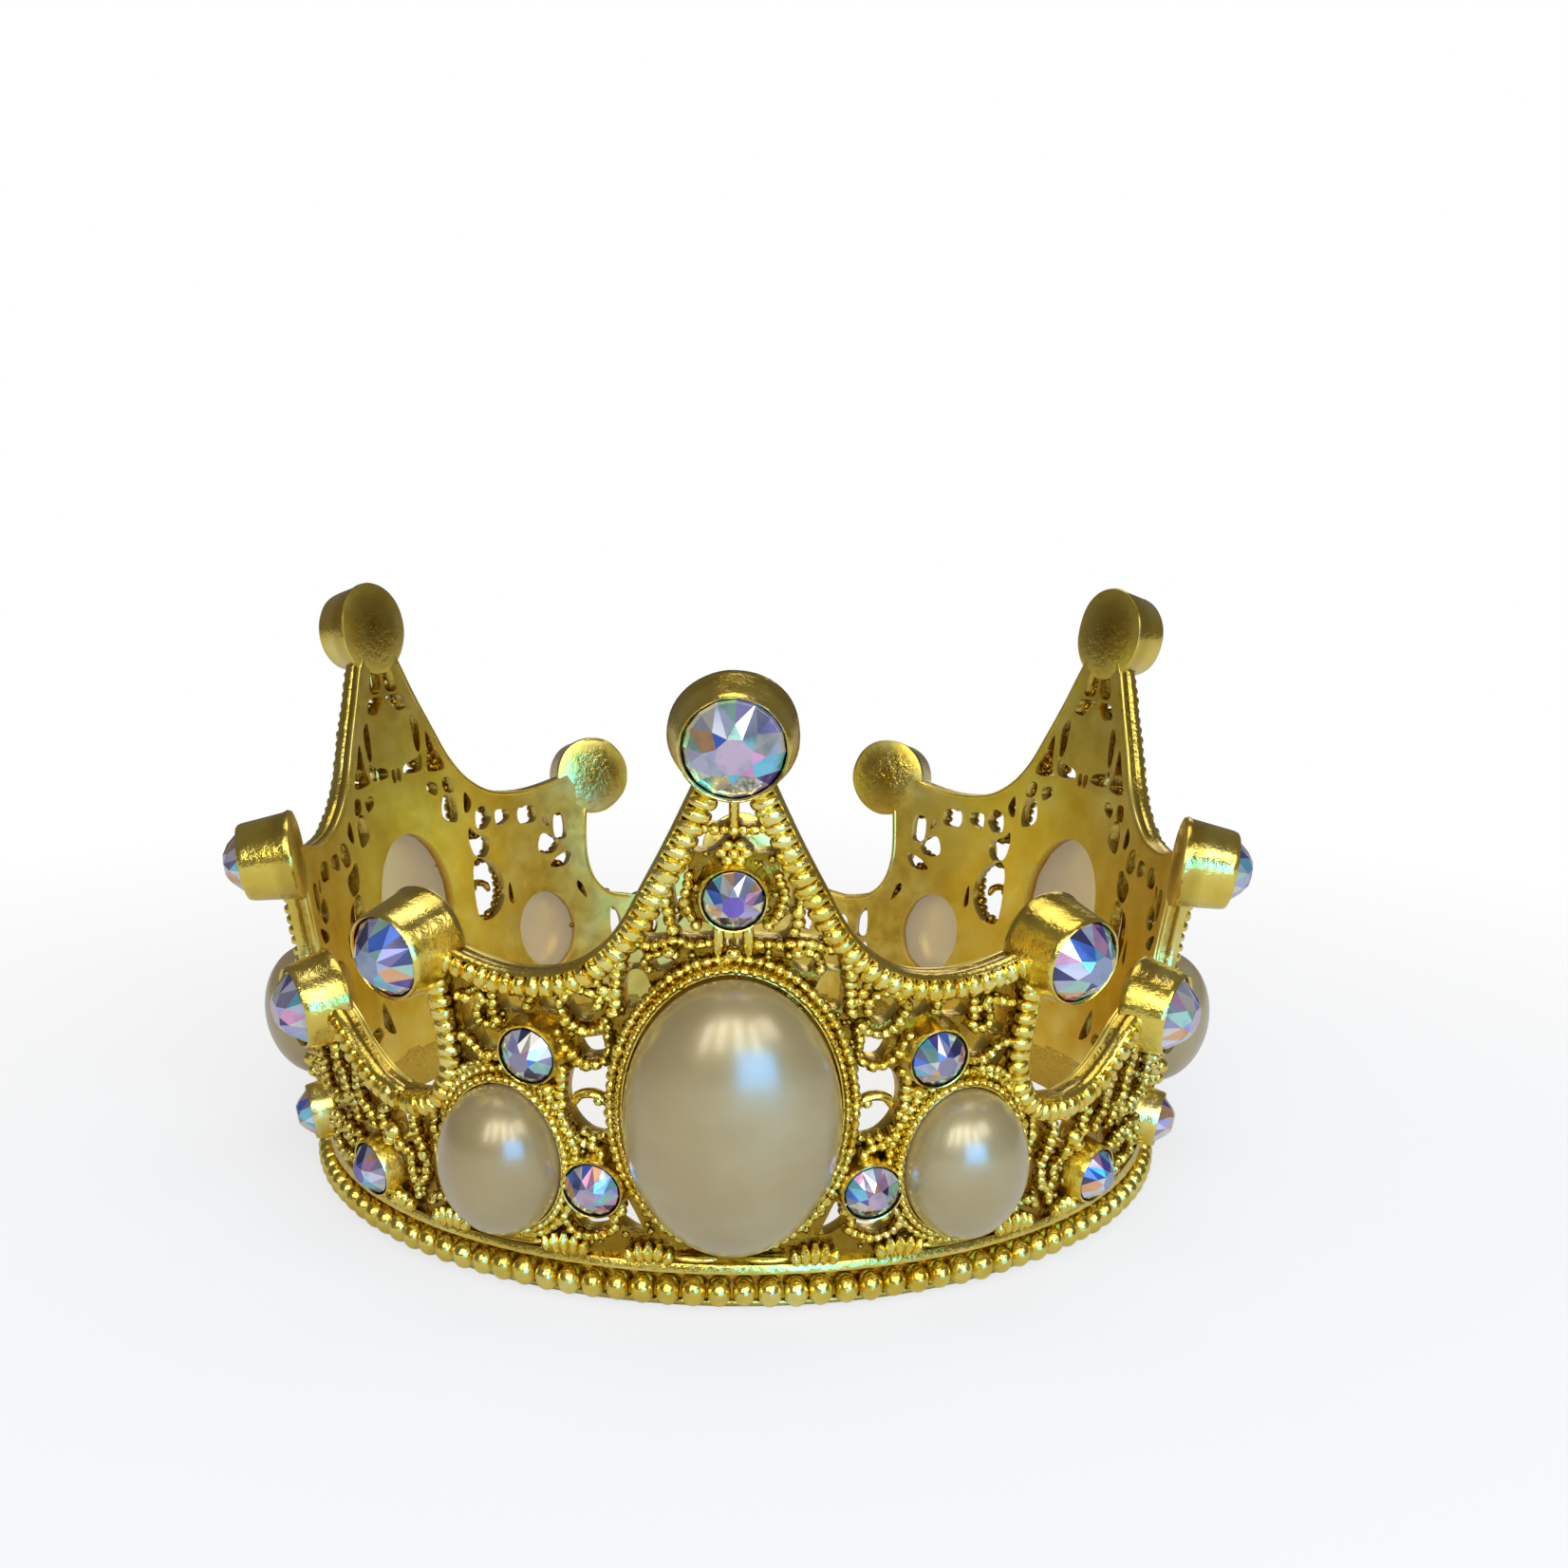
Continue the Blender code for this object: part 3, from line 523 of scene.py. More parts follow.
def panel_gaps():
    """The holes through one plate, with the open backs of the pearl seats."""
    gaps = both_halves([grown(smooth_line(g, 4, True)) for g in PEAK_GAPS], 0.0)
    gaps += both_halves([grown(smooth_line(g, 4, True)) for g in DIP_GAPS], DIP_ARC)
    for name, (half_width, half_height, _, _, tilt) in PEARLS.items():
        angle, height = PEARL_SEATS[name]
        hole = oval_line((half_width * OPEN_BACK, half_height * OPEN_BACK), 0.0, 40)
        turn = np.array([(math.cos(tilt), -math.sin(tilt)), (math.sin(tilt), math.cos(tilt))])
        hole = hole @ turn.T + (math.radians(angle) * BASE_RADIUS, height)
        gaps.append(hole)
    return gaps


def add_foot(metal, rng):
    """The plain lip, the row of round beads and the ledge above it."""
    first, last = -SEAM_ARC - SEAM_OVERLAP, SECTOR_ARC - SEAM_ARC + SEAM_OVERLAP
    profile = np.array(FOOT_PROFILE)[::-1]
    points = np.array([(arc, height, offset) for arc in np.linspace(first, last, FOOT_STATIONS)
                       for height, offset in profile])
    metal.add_on_wall(points, loops(FOOT_STATIONS, len(profile), False), 0.5)
    unit, faces = BALL[3]
    wide, tall, deep = FOOT_BEAD_SIZE
    for k in range(FOOT_BEADS):
        arc = -SEAM_ARC + (k + 0.5) * SECTOR_ARC / FOOT_BEADS + rng.uniform(-0.03, 0.03)
        size = 1 + rng.uniform(-0.05, 0.05)
        centre = (arc, FOOT_BEAD_HEIGHT + rng.uniform(-0.04, 0.04), FOOT_BEAD_OFFSET)
        metal.add_on_wall(unit * (wide * size, tall * size, deep) + centre, faces, 0.5)


def add_edges(metal, rng):
    """The ribbed wires along the upper edge, each with a thin plain lip outside it and behind."""
    for line in top_edges():
        rope, lip, rear = (inset(line, distance) for distance in (0.82, 0.16, 0.25))
        metal.add_on_wall(*beaded(rope, 0.74, 0.8, 0.0, rng, rise=0.64, neck=0.42, jitter=0.06,
                                  sides=10, blunt=0.3), 0.7)
        metal.add_on_wall(*smooth_wire(lip, 0.2, -0.3, rise=0.5), 0.4)
        metal.add_on_wall(*smooth_wire(rear, 0.25, -1.2, rise=0.3), 0.1)


def wandering(line, reach):
    """The line pushed about a little, as a wire modelled by hand."""
    push = [noise.noise_vector(Vector((x, y, 0.0)) * WANDER_SCALE)[:2] for x, y in line]
    return line + np.array(push) * reach


def add_filigree(metal, rng):
    """The beaded and plain wires over the plate, with the crossed bars near the peak's tip."""
    for lines, about, reach in ((PEAK_WIRES, 0.0, 0.25), (DIP_WIRES, DIP_ARC, 0.7)):
        for half, pitch, points in lines:
            for line in both_halves([smooth_line(points)], about):
                line = wandering(line, reach)
                metal.add_on_wall(*beaded(line, half, pitch, -0.18, rng, rise=half + 0.1,
                                          jitter=0.16), 1.0)
    for half, points in SMOOTH_WIRES:
        for line in both_halves([smooth_line(points)], 0.0):
            metal.add_on_wall(*smooth_wire(line, half, -0.05, rise=half + 0.1), 0.5)
    bar = smooth_line([(-1.7, 31.6), (0.0, 31.5), (1.7, 31.6)])
    metal.add_on_wall(*beaded(bar, 0.34, 0.5, -0.1, rng, rise=0.4), 1.0)
    upright = np.array([(0.0, 34.0), (0.0, 31.0)])
    metal.add_on_wall(*smooth_wire(upright, 0.26, -0.2, rise=0.4), 0.5)


def add_arches(metal):
    """Blocks of stout upright ribs on the ledge, each block rounded off at the top like an arch."""
    for first, last, top in RIBBED_ARCHES:
        middle, reach, rise = (first + last) / 2, (last - first) / 2, top - LEDGE_HEIGHT
        count = round(2 * reach / ARCH_PITCH)
        for k in range(count):
            across = (k + 0.5) / count * 2 - 1
            height = rise * math.sqrt(1 - ARCH_ROUNDING * across * across)
            for side in (1, -1):
                foot = (side * (middle + across * reach * ARCH_FOOT), LEDGE_HEIGHT + 0.1)
                head = (side * (middle + across * reach), LEDGE_HEIGHT + height)
                metal.add_on_wall(*smooth_wire(np.array([foot, head]), 0.36, 0.1, rise=0.55), 0.8)


def add_bosses(metal):
    """The round lumps, with the rosette above the peak stone and the knob below it."""
    unit, faces = BALL[2]
    for radius, arc, height, rise in BOSSES:
        twin = -arc if arc < LAST_PEAK_ARC else 2 * DIP_ARC - arc
        for place in (arc, twin):
            centre = (place, height, 0.0)
            metal.add_on_wall(unit * (radius, radius, radius * 0.8 + rise) + centre, faces, 0.7)
    for k in range(ROSETTE_PETALS):
        turn = k * 2 * math.pi / ROSETTE_PETALS
        centre = (0.62 * math.cos(turn), ROSETTE_HEIGHT + 0.5 * math.sin(turn), 0.0)
        metal.add_on_wall(unit * 0.34 + centre, faces, 1.0)
    metal.add_on_wall(unit * 0.3 + (0.0, ROSETTE_HEIGHT, 0.25), faces, 1.0)
    metal.add_on_wall(unit * (0.42, 0.42, 0.5) + (0.0, 24.1, 0.1), faces, 0.6)


def add_pearl_seats(metal, rng):
    """The oval collars: a plain lip that grips the pearl, and rows of beads round it."""
    for name, (half_width, half_height, _, _, tilt) in PEARLS.items():
        half = (half_width, half_height)
        seat = seat_of(*PEARL_SEATS[name], tilt)
        segments = 96 if name == "large_pearl" else 64
        points, faces = turned(COLLAR[::-1], segments, half)
        metal.add_in_seat(points, faces, seat, 0.4)
        grip = oval_line(half, 0.33)
        metal.add_in_seat(*beaded(grip, 0.25, 0.56, 0.38, rng, rise=0.36, neck=0.3, closed=True),
                          seat, 0.8)
        outer = oval_line(half, 0.85, 96)
        metal.add_in_seat(*beaded(outer, 0.32, 0.62, -0.08, rng, rise=0.4, neck=0.4, jitter=0.2,
                                  closed=True), seat, 1.0)


def add_stone_seats(metal):
    """A ring or a cup round each stone."""
    for angle, height, size, offsets in STONES.values():
        seat = seat_of(angle, height)
        if size is RING:
            add_ring(metal, seat, size)
        else:
            add_cup(metal, seat, size, offsets["floor"], offsets["top"])


def paint_pocket_shade(metal, points, pocket):
    """The inside of a stone's seat gets painted shade: it is marked as deep and rough, so the gold
    is dull and dark there.
    """
    within = np.hypot(points[:, 0], points[:, 1]) < pocket + 0.01
    metal.grain[-1][within] = 1.0
    metal.depth[-1][within] = WALL_BACK


def add_ring(metal, seat, size):
    """A low bezel with a rounded rim."""
    pocket, rim, back = size["pocket"], size["rim"], size["back"]
    profile = [(0.02, -0.25), (pocket, -0.25), (pocket, 0.8), (pocket + 0.03, 1.02),
               (pocket + 0.1, 1.06), (rim, 0.92), (rim + 0.04, 0.6), (back, 0.1),
               (back + 0.15, -0.6), (0.02, -0.6)]
    points, faces = turned(profile[::-1], 48)
    metal.add_in_seat(points, faces, seat, 0.3)
    paint_pocket_shade(metal, points, pocket)


def add_cup(metal, seat, size, floor, top):
    """A drum with a plain side, a rounded rim round a deep pocket and a flat back."""
    pocket, rim, back = size["pocket"], size["rim"], size["back"]
    profile = [(0.02, floor), (pocket - 0.05, floor), (pocket, top - 0.3),
               (pocket + 0.04, top - 0.06), (rim - 0.04, top), (rim + 0.06, top - 0.1),
               (rim + 0.14, top - 0.4),
               (back - 0.12, -0.9), (back, -1.2), (back - 0.08, -1.42), (back - 0.35, -1.5),
               (0.02, -1.5)]
    points, faces = turned(profile[::-1], 56)
    for point in points:
        dent = noise.noise(Vector(point) * 0.45 + seat.translation)
        point[:2] *= 1 + dent * 0.04
    metal.add_in_seat(points, faces, seat, 0.35)
    metal.grain[-1][points[:, 2] < CUP_BACK] = 0.03
    paint_pocket_shade(metal, points, pocket)


def add_grains(metal, outline, gaps, rng):
    """Small lumps scattered over the face of the plate."""
    unit, faces = BALL[1]
    areas = [(last - first) * (top - low) for first, last, low, top in GRAIN_ZONES]
    for _ in range(GRAIN_COUNT):
        first, last, low, top = rng.choices(GRAIN_ZONES, areas)[0]
        spot = np.array([rng.uniform(first, last), rng.uniform(low, top)])
        if not inside(spot, outline) or any(inside(spot, gap) for gap in gaps):
            continue
        radius = rng.uniform(0.16, 0.32)
        centre = (*spot, WALL_FRONT + rng.uniform(0.0, 0.2))
        metal.add_on_wall(unit * radius + centre, faces, 1.0)


def inside(spot, polygon):
    """Whether the spot is within the closed polygon."""
    x, y = spot
    ax, ay = polygon[:, 0], polygon[:, 1]
    bx, by = np.roll(ax, -1), np.roll(ay, -1)
    crosses = (ay > y) != (by > y)
    with np.errstate(divide="ignore", invalid="ignore"):
        at = ax + (y - ay) * (bx - ax) / (by - ay)
    return bool(np.count_nonzero(crosses & (x < at)) % 2)


def panel_mesh():
    """One panel of the wall with all that is cast on it, about the ring's axis."""
    rng = random.Random(RNG_SEED)
    noise.seed_set(RNG_SEED)
    metal = Casting()
    outline, gaps = plate_outline(), panel_gaps()
    points, faces = plate(outline, gaps)
    for point in points:
        if point[2] > WALL_FRONT - 0.01:
            point[2] += 0.16 * noise.noise(Vector((point[0], point[1], 0.0)) * 1.1)
        else:
            point[2] += 0.05 * noise.noise(Vector((point[0], point[1], 5.0)) * 0.35)
    metal.add(wall(points), faces, 0.0, points[:, 2])
    metal.grain[-1] = np.clip((points[:, 2] - WALL_BACK) / (WALL_FRONT - WALL_BACK), 0.0, 1.0)
    add_foot(metal, rng)
    add_edges(metal, rng)
    add_filigree(metal, rng)
    add_arches(metal)
    add_bosses(metal)
    add_pearl_seats(metal, rng)
    add_stone_seats(metal)
    add_grains(metal, outline, gaps, rng)
    return metal.mesh("gilt_panel")


def new_material(name):
    material = bpy.data.materials.new(name)
    material.use_nodes = True
    tree = material.node_tree
    return material, tree, tree.nodes["Principled BSDF"]


def noise_node(tree, scale, detail=3.0, roughness=0.55):
    coords = tree.nodes.new("ShaderNodeTexCoord")
    texture = tree.nodes.new("ShaderNodeTexNoise")
    texture.inputs["Scale"].default_value = scale
    texture.inputs["Detail"].default_value = detail
    texture.inputs["Roughness"].default_value = roughness
    tree.links.new(coords.outputs["Object"], texture.inputs["Vector"])
    return texture


def ramp_node(tree, source, stops):
    ramp = tree.nodes.new("ShaderNodeValToRGB")
    elements = ramp.color_ramp.elements
    while len(elements) < len(stops):
        elements.new(0.5)
    for element, (position, colour) in zip(elements, stops):
        element.position = position
        element.color = (*colour, 1.0)
    tree.links.new(source, ramp.inputs["Fac"])
    return ramp


def attribute_node(tree, name):
    node = tree.nodes.new("ShaderNodeAttribute")
    node.attribute_name = name
    return node


def map_range(tree, source, low, high, to_low, to_high):
    node = tree.nodes.new("ShaderNodeMapRange")
    for label, value in (("From Min", low), ("From Max", high), ("To Min", to_low),
                         ("To Max", to_high)):
        node.inputs[label].default_value = value
    tree.links.new(source, node.inputs["Value"])
    return node


def combined(tree, operation, first, second):
    """Two values joined by a Math node."""
    node = tree.nodes.new("ShaderNodeMath")
    node.operation = operation
    tree.links.new(first, node.inputs[0])
    tree.links.new(second, node.inputs[1])
    return node.outputs[0]


def bump_node(tree, height, distance, strength=None):
    node = tree.nodes.new("ShaderNodeBump")
    node.inputs["Distance"].default_value = distance
    if strength is not None:
        node.inputs["Strength"].default_value = strength
    tree.links.new(height, node.inputs["Height"])
    return node


def mix_colour(tree, factor, first, second, blend="MIX"):
    node = tree.nodes.new("ShaderNodeMix")
    node.data_type = "RGBA"
    node.blend_type = blend
    for index, value in ((0, factor), (6, first), (7, second)):
        socket = node.inputs[index]
        if hasattr(value, "is_linked"):
            tree.links.new(value, socket)
        else:
            socket.default_value = value if index == 0 else (*value, 1.0)
    return node.outputs[2]


def gold_material():
    """Bright yellow plating over a cast skin, with painted shade that makes it browner and duller
    in the recesses.
    """
    material, tree, shader = new_material("bright gold plating")
    patches = noise_node(tree, 260.0, 4.0)
    plating = ramp_node(tree, patches.outputs["Fac"], [
        (0.25, (0.78, 0.53, 0.06)), (0.5, (0.91, 0.68, 0.13)), (0.75, (0.98, 0.83, 0.28)),
    ])
    # Painted shade: the deeper and rougher the skin, the more dark brown is mixed into the plating.
    depth = attribute_node(tree, "depth")
    recess = map_range(tree, depth.outputs["Fac"], -0.45, 0.25, 1.0, 0.0)
    grain = attribute_node(tree, "grain")
    recess_shade = combined(tree, "MULTIPLY", recess.outputs["Result"], grain.outputs["Fac"])
    colour = mix_colour(tree, recess_shade, plating.outputs["Color"], (0.34, 0.19, 0.015))
    tree.links.new(colour, shader.inputs["Base Color"])
    shader.inputs["Metallic"].default_value = 1.0
    cloud = noise_node(tree, 900.0, 5.0, 0.65)
    gloss = map_range(tree, cloud.outputs["Fac"], 0.3, 0.7, 0.12, 0.28)
    satin = map_range(tree, grain.outputs["Fac"], 0.0, 0.35, 0.16, 0.0)
    rough = combined(tree, "ADD", gloss.outputs["Result"], satin.outputs["Result"])
    tree.links.new(rough, shader.inputs["Roughness"])
    lumps = noise_node(tree, 2300.0, 3.0, 0.6)
    fine = bump_node(tree, lumps.outputs["Fac"], 0.00016)
    strength = map_range(tree, grain.outputs["Fac"], 0.0, 1.0, 0.05, 0.75)
    tree.links.new(strength.outputs["Result"], fine.inputs["Strength"])
    swell = noise_node(tree, 420.0, 2.0)
    broad = bump_node(tree, swell.outputs["Fac"], 0.0003, 0.16)
    tree.links.new(fine.outputs["Normal"], broad.inputs["Normal"])
    tree.links.new(broad.outputs["Normal"], shader.inputs["Normal"])
    return material


def pearl_material():
    """Imitation pearl: an ivory body under a glossy lacquer, with a painted glow that is strongest
    on its flat back.
    """
    material, tree, shader = new_material("pearl lacquer")
    clouds = noise_node(tree, 130.0, 3.0)
    body = ramp_node(tree, clouds.outputs["Fac"], [
        (0.3, (0.34, 0.225, 0.07)), (0.5, (0.38, 0.265, 0.09)), (0.72, (0.43, 0.33, 0.14)),
    ])
    tree.links.new(body.outputs["Color"], shader.inputs["Base Color"])
    shader.inputs["Roughness"].default_value = 0.34
    shader.inputs["Metallic"].default_value = 0.4
    shader.inputs["IOR"].default_value = 1.55
    shader.inputs["Subsurface Weight"].default_value = 0.25
    shader.inputs["Subsurface Radius"].default_value = (0.002, 0.0014, 0.001)
    shader.inputs["Subsurface Scale"].default_value = 1.0
    shader.inputs["Coat Weight"].default_value = 1.0
    shader.inputs["Coat Roughness"].default_value = 0.2
    shader.inputs["Coat IOR"].default_value = 1.5
    # Painted light: the whole pearl glows faintly, and its flat back glows more, standing in for
    # daylight that soaks through it.
    shader.inputs["Emission Color"].default_value = (1.0, 0.84, 0.56, 1.0)
    glow = map_range(tree, attribute_node(tree, "back").outputs["Fac"], 0.0, 1.0, 0.07, 0.27)
    tree.links.new(glow.outputs["Result"], shader.inputs["Emission Strength"])
    specks = noise_node(tree, 1500.0, 3.0)
    skin = bump_node(tree, specks.outputs["Fac"], 0.00002, 0.25)
    tree.links.new(skin.outputs["Normal"], shader.inputs["Normal"])
    return material


def crystal_material():
    """Foil-backed glass with a rainbow coating. Each facet has a fixed colour that is partly the
    coating's tint and partly painted reflection, with glints and dark facets set into the colour.
    """
    material, tree, shader = new_material("iridescent crystal")
    facet = attribute_node(tree, "facet")
    flecks = noise_node(tree, 700.0, 3.0)
    shade = ramp_node(tree, flecks.outputs["Fac"], [
        (0.3, (0.60, 0.66, 0.70)), (0.5, (0.95, 0.96, 0.96)), (0.7, (1.0, 0.88, 0.82)),
    ])
    colour = mix_colour(tree, 1.0, facet.outputs["Color"], shade.outputs["Color"], "MULTIPLY")
    tree.links.new(colour, shader.inputs["Base Color"])
    gloss = map_range(tree, flecks.outputs["Fac"], 0.3, 0.7, 0.04, 0.12)
    tree.links.new(gloss.outputs["Result"], shader.inputs["Roughness"])
    shader.inputs["Metallic"].default_value = 0.7
    shader.inputs["Coat Weight"].default_value = 0.5
    shader.inputs["Coat Roughness"].default_value = 0.02
    shader.inputs["Coat IOR"].default_value = 1.55
    return material


# The colours set on the facets, partly coating tints and partly painted reflections and glints, how
# often each comes, and those of the tables, which are likewise partly tint and partly painted
# reflection.
FACET_TINTS_AND_GLINTS = [
    (0.24, 0.66, 0.74), (0.12, 0.26, 0.82), (0.55, 0.48, 0.80), (0.20, 0.12, 0.44),
    (0.92, 0.42, 0.60), (0.96, 0.50, 0.22), (0.48, 0.76, 0.56), (0.80, 0.82, 0.90),
    (0.56, 0.55, 0.62), (0.42, 0.36, 0.48), (0.86, 0.78, 0.62), (0.08, 0.08, 0.18),
]
FACET_WEIGHTS = [12, 7, 5, 6, 7, 8, 8, 12, 14, 12, 11, 9]
TABLE_TINTS_AND_REFLECTIONS = [(0.24, 0.14, 0.50), (0.36, 0.40, 0.50), (0.34, 0.30, 0.36), (0.66, 0.46, 0.50)]
STONE_SIDES = 8
GIRDLE_SIDES = 2 * STONE_SIDES
CROWN_FACETS = 5 * STONE_SIDES


def stone_mesh(name, size, offsets, rng):
    """A brilliant-cut stone: a table, stars, kites and a girdle over a flat back."""
    radius = size["stone"]
    girdle, table, back = offsets["girdle"], offsets["table"], offsets["stone_back"]
    rise = table - girdle
    step = 2 * math.pi / STONE_SIDES
    spin = rng.uniform(0, step)

    def ring(count, reach, height, phase=0.0):
        return [Vector((math.cos(spin + phase + k * 2 * math.pi / count) * reach,
                        math.sin(spin + phase + k * 2 * math.pi / count) * reach, height))
                for k in range(count)]

    points = ring(STONE_SIDES, radius * 0.38, table)
    points += ring(STONE_SIDES, radius * 0.62, girdle + rise * 0.74, step / 2)
    points += ring(GIRDLE_SIDES, radius, girdle + 0.08)
    points += ring(GIRDLE_SIDES, radius, girdle - 0.15)
    points += ring(GIRDLE_SIDES, radius * 0.86, back)
    middle, rim = STONE_SIDES, 2 * STONE_SIDES
    belt, base = rim + GIRDLE_SIDES, rim + 2 * GIRDLE_SIDES
    faces = [tuple(range(STONE_SIDES))]
    for k in range(STONE_SIDES):
        after, before = (k + 1) % STONE_SIDES, (k - 1) % STONE_SIDES
        here, between = rim + 2 * k, rim + 2 * k + 1
        there = rim + (2 * k + 2) % GIRDLE_SIDES
        faces += [(k, middle + k, after), (k, middle + before, here), (k, here, middle + k),
                  (middle + k, here, between), (middle + k, between, there)]
    for k in range(GIRDLE_SIDES):
        after = (k + 1) % GIRDLE_SIDES
        faces += [(rim + k, belt + k, belt + after, rim + after),
                  (belt + k, base + k, base + after, belt + after)]
    faces.append(tuple(reversed(range(base, base + GIRDLE_SIDES))))
    bm = bmesh.new()
    verts = [bm.verts.new(p * MM) for p in points]
    for face in faces:
        bm.faces.new([verts[i] for i in face])
    layer = bm.loops.layers.float_color.new("facet")
    bm.faces.ensure_lookup_table()
    # The table comes first, then five facets a side, where the third finishes the second's kite.
    # Each facet gets a fixed colour from these tints and painted glints.
    colour = None
    for index, face in enumerate(bm.faces):
        if index == 0:
            colour = rng.choice(TABLE_TINTS_AND_REFLECTIONS)
        elif index > CROWN_FACETS or (index - 1) % 5 != 2:
            colour = rng.choices(FACET_TINTS_AND_GLINTS, FACET_WEIGHTS)[0]
        for corner in face.loops:
            corner[layer] = (*colour, 1.0)
    if bm.calc_volume(signed=True) < 0:
        bmesh.ops.reverse_faces(bm, faces=bm.faces)
    mesh = bpy.data.meshes.new(name)
    bm.to_mesh(mesh)
    bm.free()
    mesh.shade_flat()
    return mesh


def pearl_mesh(name, half_width, half_height, girdle, belly):
    """A cabochon: an oval dome over a barrel girdle and a flat back."""
    segments, rings = 72, 20
    turn = np.linspace(0, 2 * math.pi, segments, endpoint=False)
    profile = [(math.cos(a), girdle + belly * math.sin(a) ** 1.05)
               for a in np.linspace(math.pi / 2, 0.0, rings)[1:]]
    profile += [(0.997, girdle - 0.35), (0.985, girdle - 0.7), (0.95, PEARL_BACK + 0.12),
                (0.9, PEARL_BACK)]
    points = [(0.0, 0.0, girdle + belly)]
    for reach, height in profile:
        points += [(math.cos(a) * reach * half_width, math.sin(a) * reach * half_height, height)
                   for a in turn]
    faces = []
    for j in range(segments):
        faces.append((0, 1 + j, 1 + (j + 1) % segments))
    for i in range(len(profile) - 1):
        here, there = 1 + i * segments, 1 + (i + 1) * segments
        for j in range(segments):
            k = (j + 1) % segments
            faces.append((here + j, there + j, there + k, here + k))
    last = 1 + (len(profile) - 1) * segments
    faces.append(tuple(reversed(range(last, last + segments))))
    mesh = bpy.data.meshes.new(name)
    mesh.from_pydata(np.array(points) * MM, [], faces)
    # The flat back, where the pearl's painted glow is strongest.
    back = mesh.attributes.new("back", "FLOAT", "POINT")
    back.data.foreach_set("value", (np.arange(len(points)) >= last).astype(np.float32))
    mesh.shade_smooth()
    mesh.set_sharp_from_angle(angle=math.radians(55))
    return mesh


def add_piece(name, mesh, matrix, material, node):
    """One piece, with its own copy of the mesh turned into its place."""
    mesh = mesh.copy()
    mesh.transform(matrix)
    piece = bpy.data.objects.new(name, mesh)
    bpy.context.scene.collection.objects.link(piece)
    mesh.materials.clear()
    mesh.materials.append(material)
    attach(piece, "root")
    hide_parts(node)
    return piece


def metres(matrix):
    """A seat's matrix with its place in metres."""
    result = matrix.copy()
    result.translation = matrix.translation * MM
    return result


def build_crown():
    """Three walls, nine pearls and thirty-three stones, each in place of its solid."""
    gold, nacre, crystal = gold_material(), pearl_material(), crystal_material()
    wall_mesh = panel_mesh()
    pearls = {}
    for name, (half_width, half_height, girdle, belly, _) in PEARLS.items():
        pearls[name] = pearl_mesh(name, half_width, half_height, girdle, belly)
    rng = random.Random(RNG_SEED)
    for number, side in enumerate(SIDES):
        turn = (Matrix.Translation((0, AXIS_Y * MM, 0))
                @ Matrix.Rotation(math.radians(120 * number), 4, "Z"))
        add_piece("wall_" + side, wall_mesh, turn, gold, "panel_" + side)
        for name, (_, _, _, _, tilt) in PEARLS.items():
            seat = turn @ metres(seat_of(*PEARL_SEATS[name], tilt))
            add_piece(f"{name}_cabochon_{side}", pearls[name], seat, nacre, f"{name}_{side}")
        for name, (angle, height, size, offsets) in STONES.items():
            seat = turn @ metres(seat_of(angle, height))
            cut = stone_mesh(f"{name}_{side}_cut", size, offsets, rng)
            add_piece(f"{name}_cut_{side}", cut, seat, crystal, f"{name}_{side}")


# The stage, in metres and watts. The floor fades to white between the two FLOOR_FADE radii.
FLOOR_SIZE = 0.9
FLOOR_FADE = (0.035, 0.13)
FLOOR_GLOW = 0.72
WINDOWS_X = [-0.25, -0.10, 0.05, 0.20]
WHITE = (1.0, 1.0, 1.0)
COOL = (0.90, 0.97, 1.0)
BLUE = (0.05, 0.32, 1.0)
ROOM_COLOUR = (1.0, 0.96, 0.88)
ROOM_LIGHT = 0.15

# The camera: the photo's, fitted to the foot, the finials and the stones.
CAMERA_DISTANCE = 0.14945
CAMERA_AIM_HEIGHT = 0.015
CAMERA_ELEVATION = math.radians(15.37)
CAMERA_AZIMUTH = math.radians(0.34)
CAMERA_ROLL = math.radians(0.39)
SENSOR_WIDTH = 36.0
LENS = 45.8172
LENS_SHIFT = (0.0300847, 0.1064165)


def add_camera():
    data = bpy.data.cameras.new("camera")
    data.sensor_width = SENSOR_WIDTH
    data.lens = LENS
    data.shift_x, data.shift_y = LENS_SHIFT
    data.clip_start = 0.01
    camera = bpy.data.objects.new("camera", data)
    bpy.context.scene.collection.objects.link(camera)
    aim = Vector((0.0, AXIS_Y * MM, CAMERA_AIM_HEIGHT))
    back = Vector((math.sin(CAMERA_AZIMUTH) * math.cos(CAMERA_ELEVATION),
                   -math.cos(CAMERA_AZIMUTH) * math.cos(CAMERA_ELEVATION),
                   math.sin(CAMERA_ELEVATION)))
    look = (-back).to_track_quat("-Z", "Y").to_matrix().to_4x4()
    roll = Matrix.Rotation(CAMERA_ROLL, 4, "Z")
    camera.matrix_world = Matrix.Translation(aim + back * CAMERA_DISTANCE) @ look @ roll
    bpy.context.scene.camera = camera


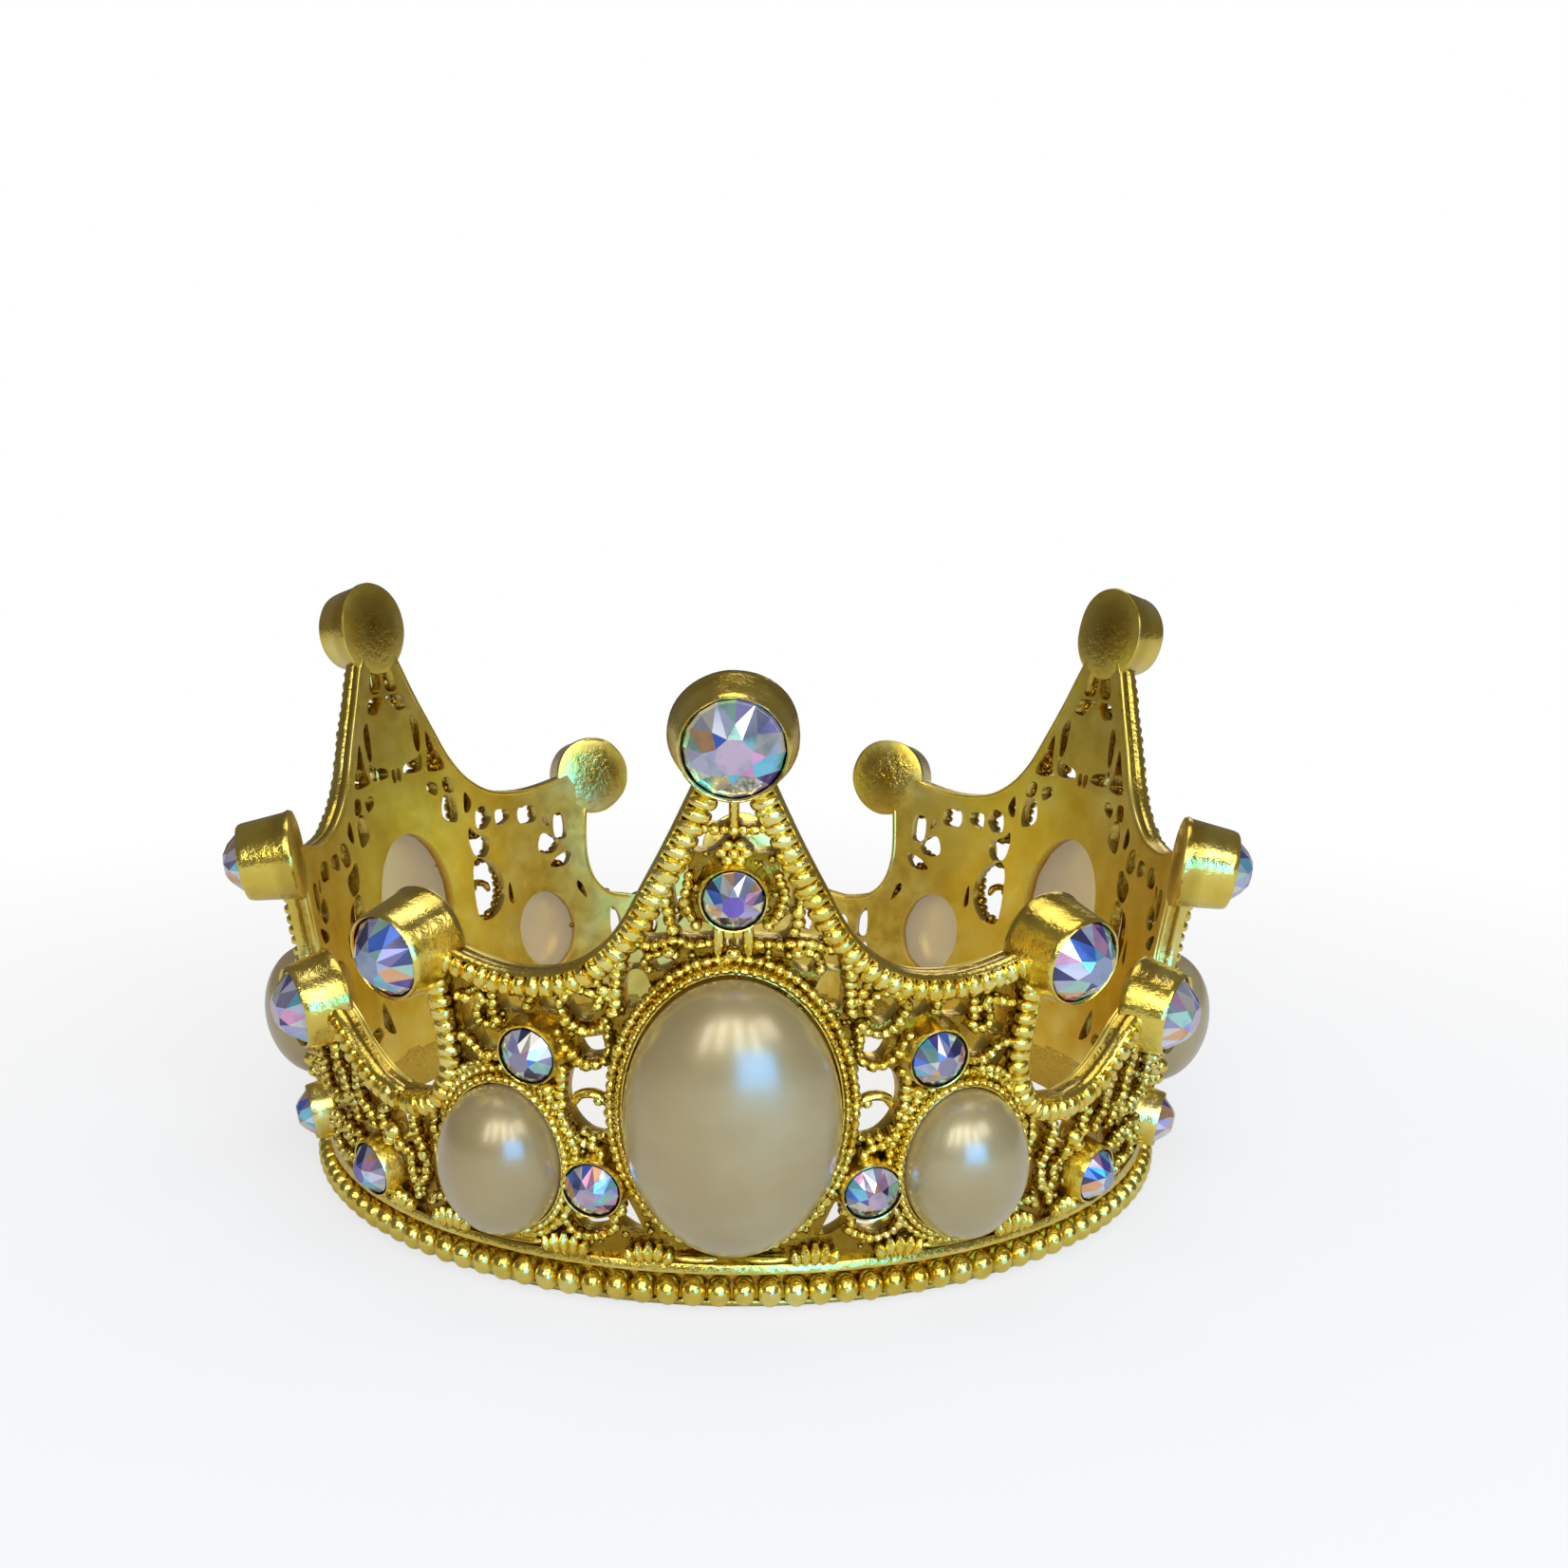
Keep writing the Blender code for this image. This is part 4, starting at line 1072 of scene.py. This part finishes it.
def add_floor():
    """A pale floor that fades to the white behind it."""
    bpy.ops.mesh.primitive_plane_add(size=FLOOR_SIZE)
    floor = bpy.context.active_object
    floor.name = "floor"
    material, tree, shader = new_material("pale floor")
    shader.inputs["Base Color"].default_value = (0.9, 0.9, 0.9, 1.0)
    shader.inputs["Roughness"].default_value = 0.9
    coords = tree.nodes.new("ShaderNodeTexCoord")
    reach = tree.nodes.new("ShaderNodeVectorMath")
    reach.operation = "LENGTH"
    tree.links.new(coords.outputs["Object"], reach.inputs[0])
    fade = map_range(tree, reach.outputs["Value"], *FLOOR_FADE, FLOOR_GLOW, 1.0)
    ray = tree.nodes.new("ShaderNodeLightPath")
    seen = combined(tree, "MULTIPLY", fade.outputs["Result"], ray.outputs["Is Camera Ray"])
    glow = tree.nodes.new("ShaderNodeEmission")
    glow.inputs["Color"].default_value = (*WHITE, 1.0)
    both = tree.nodes.new("ShaderNodeMixShader")
    tree.links.new(seen, both.inputs[0])
    tree.links.new(shader.outputs[0], both.inputs[1])
    tree.links.new(glow.outputs[0], both.inputs[2])
    tree.links.new(both.outputs[0], tree.nodes["Material Output"].inputs["Surface"])
    floor.data.materials.append(material)


def add_light(name, place, size, power, colour=WHITE, aim=(0.0, 0.0, 0.02)):
    data = bpy.data.lights.new(name, "AREA")
    data.shape = "RECTANGLE"
    data.size, data.size_y = size
    data.energy = power
    data.color = colour
    light = bpy.data.objects.new(name, data)
    bpy.context.scene.collection.objects.link(light)
    light.location = place
    light.rotation_euler = (Vector(aim) - Vector(place)).to_track_quat("-Z", "Y").to_euler()


def add_studio():
    """A white backdrop, a dim warm room for everything else, and soft area lights."""
    world = bpy.data.worlds.new("studio")
    bpy.context.scene.world = world
    world.use_nodes = True
    tree = world.node_tree
    seen = tree.nodes["Background"]
    seen.inputs["Color"].default_value = (*WHITE, 1.0)
    room = tree.nodes.new("ShaderNodeBackground")
    room.inputs["Color"].default_value = (*ROOM_COLOUR, 1.0)
    room.inputs["Strength"].default_value = ROOM_LIGHT
    ray = tree.nodes.new("ShaderNodeLightPath")
    choose = tree.nodes.new("ShaderNodeMixShader")
    tree.links.new(ray.outputs["Is Camera Ray"], choose.inputs[0])
    tree.links.new(room.outputs[0], choose.inputs[1])
    tree.links.new(seen.outputs[0], choose.inputs[2])
    tree.links.new(choose.outputs[0], tree.nodes["World Output"].inputs["Surface"])
    add_light("overhead", (0.0, 0.05, 0.6), (0.35, 0.35), 0.68)
    add_light("front_soft", (-0.05, -0.42, 0.42), (0.34, 0.2), 0.20)
    for number, across in enumerate(WINDOWS_X):
        add_light(f"window_{number}", (across, -0.46, 0.30), (0.06, 0.26), 0.38, COOL)
    add_light("sky_right", (0.33, -0.34, 0.36), (0.2, 0.2), 0.48, COOL)
    add_light("blue_window", (0.125, -0.33, 0.06), (0.21, 0.13), 0.86, BLUE)
    add_light("back", (0.1, 0.6, 0.3), (0.3, 0.2), 0.30)


bpy.context.scene.view_settings.view_transform = "Standard"
build_crown()
add_floor()
add_studio()
add_camera()
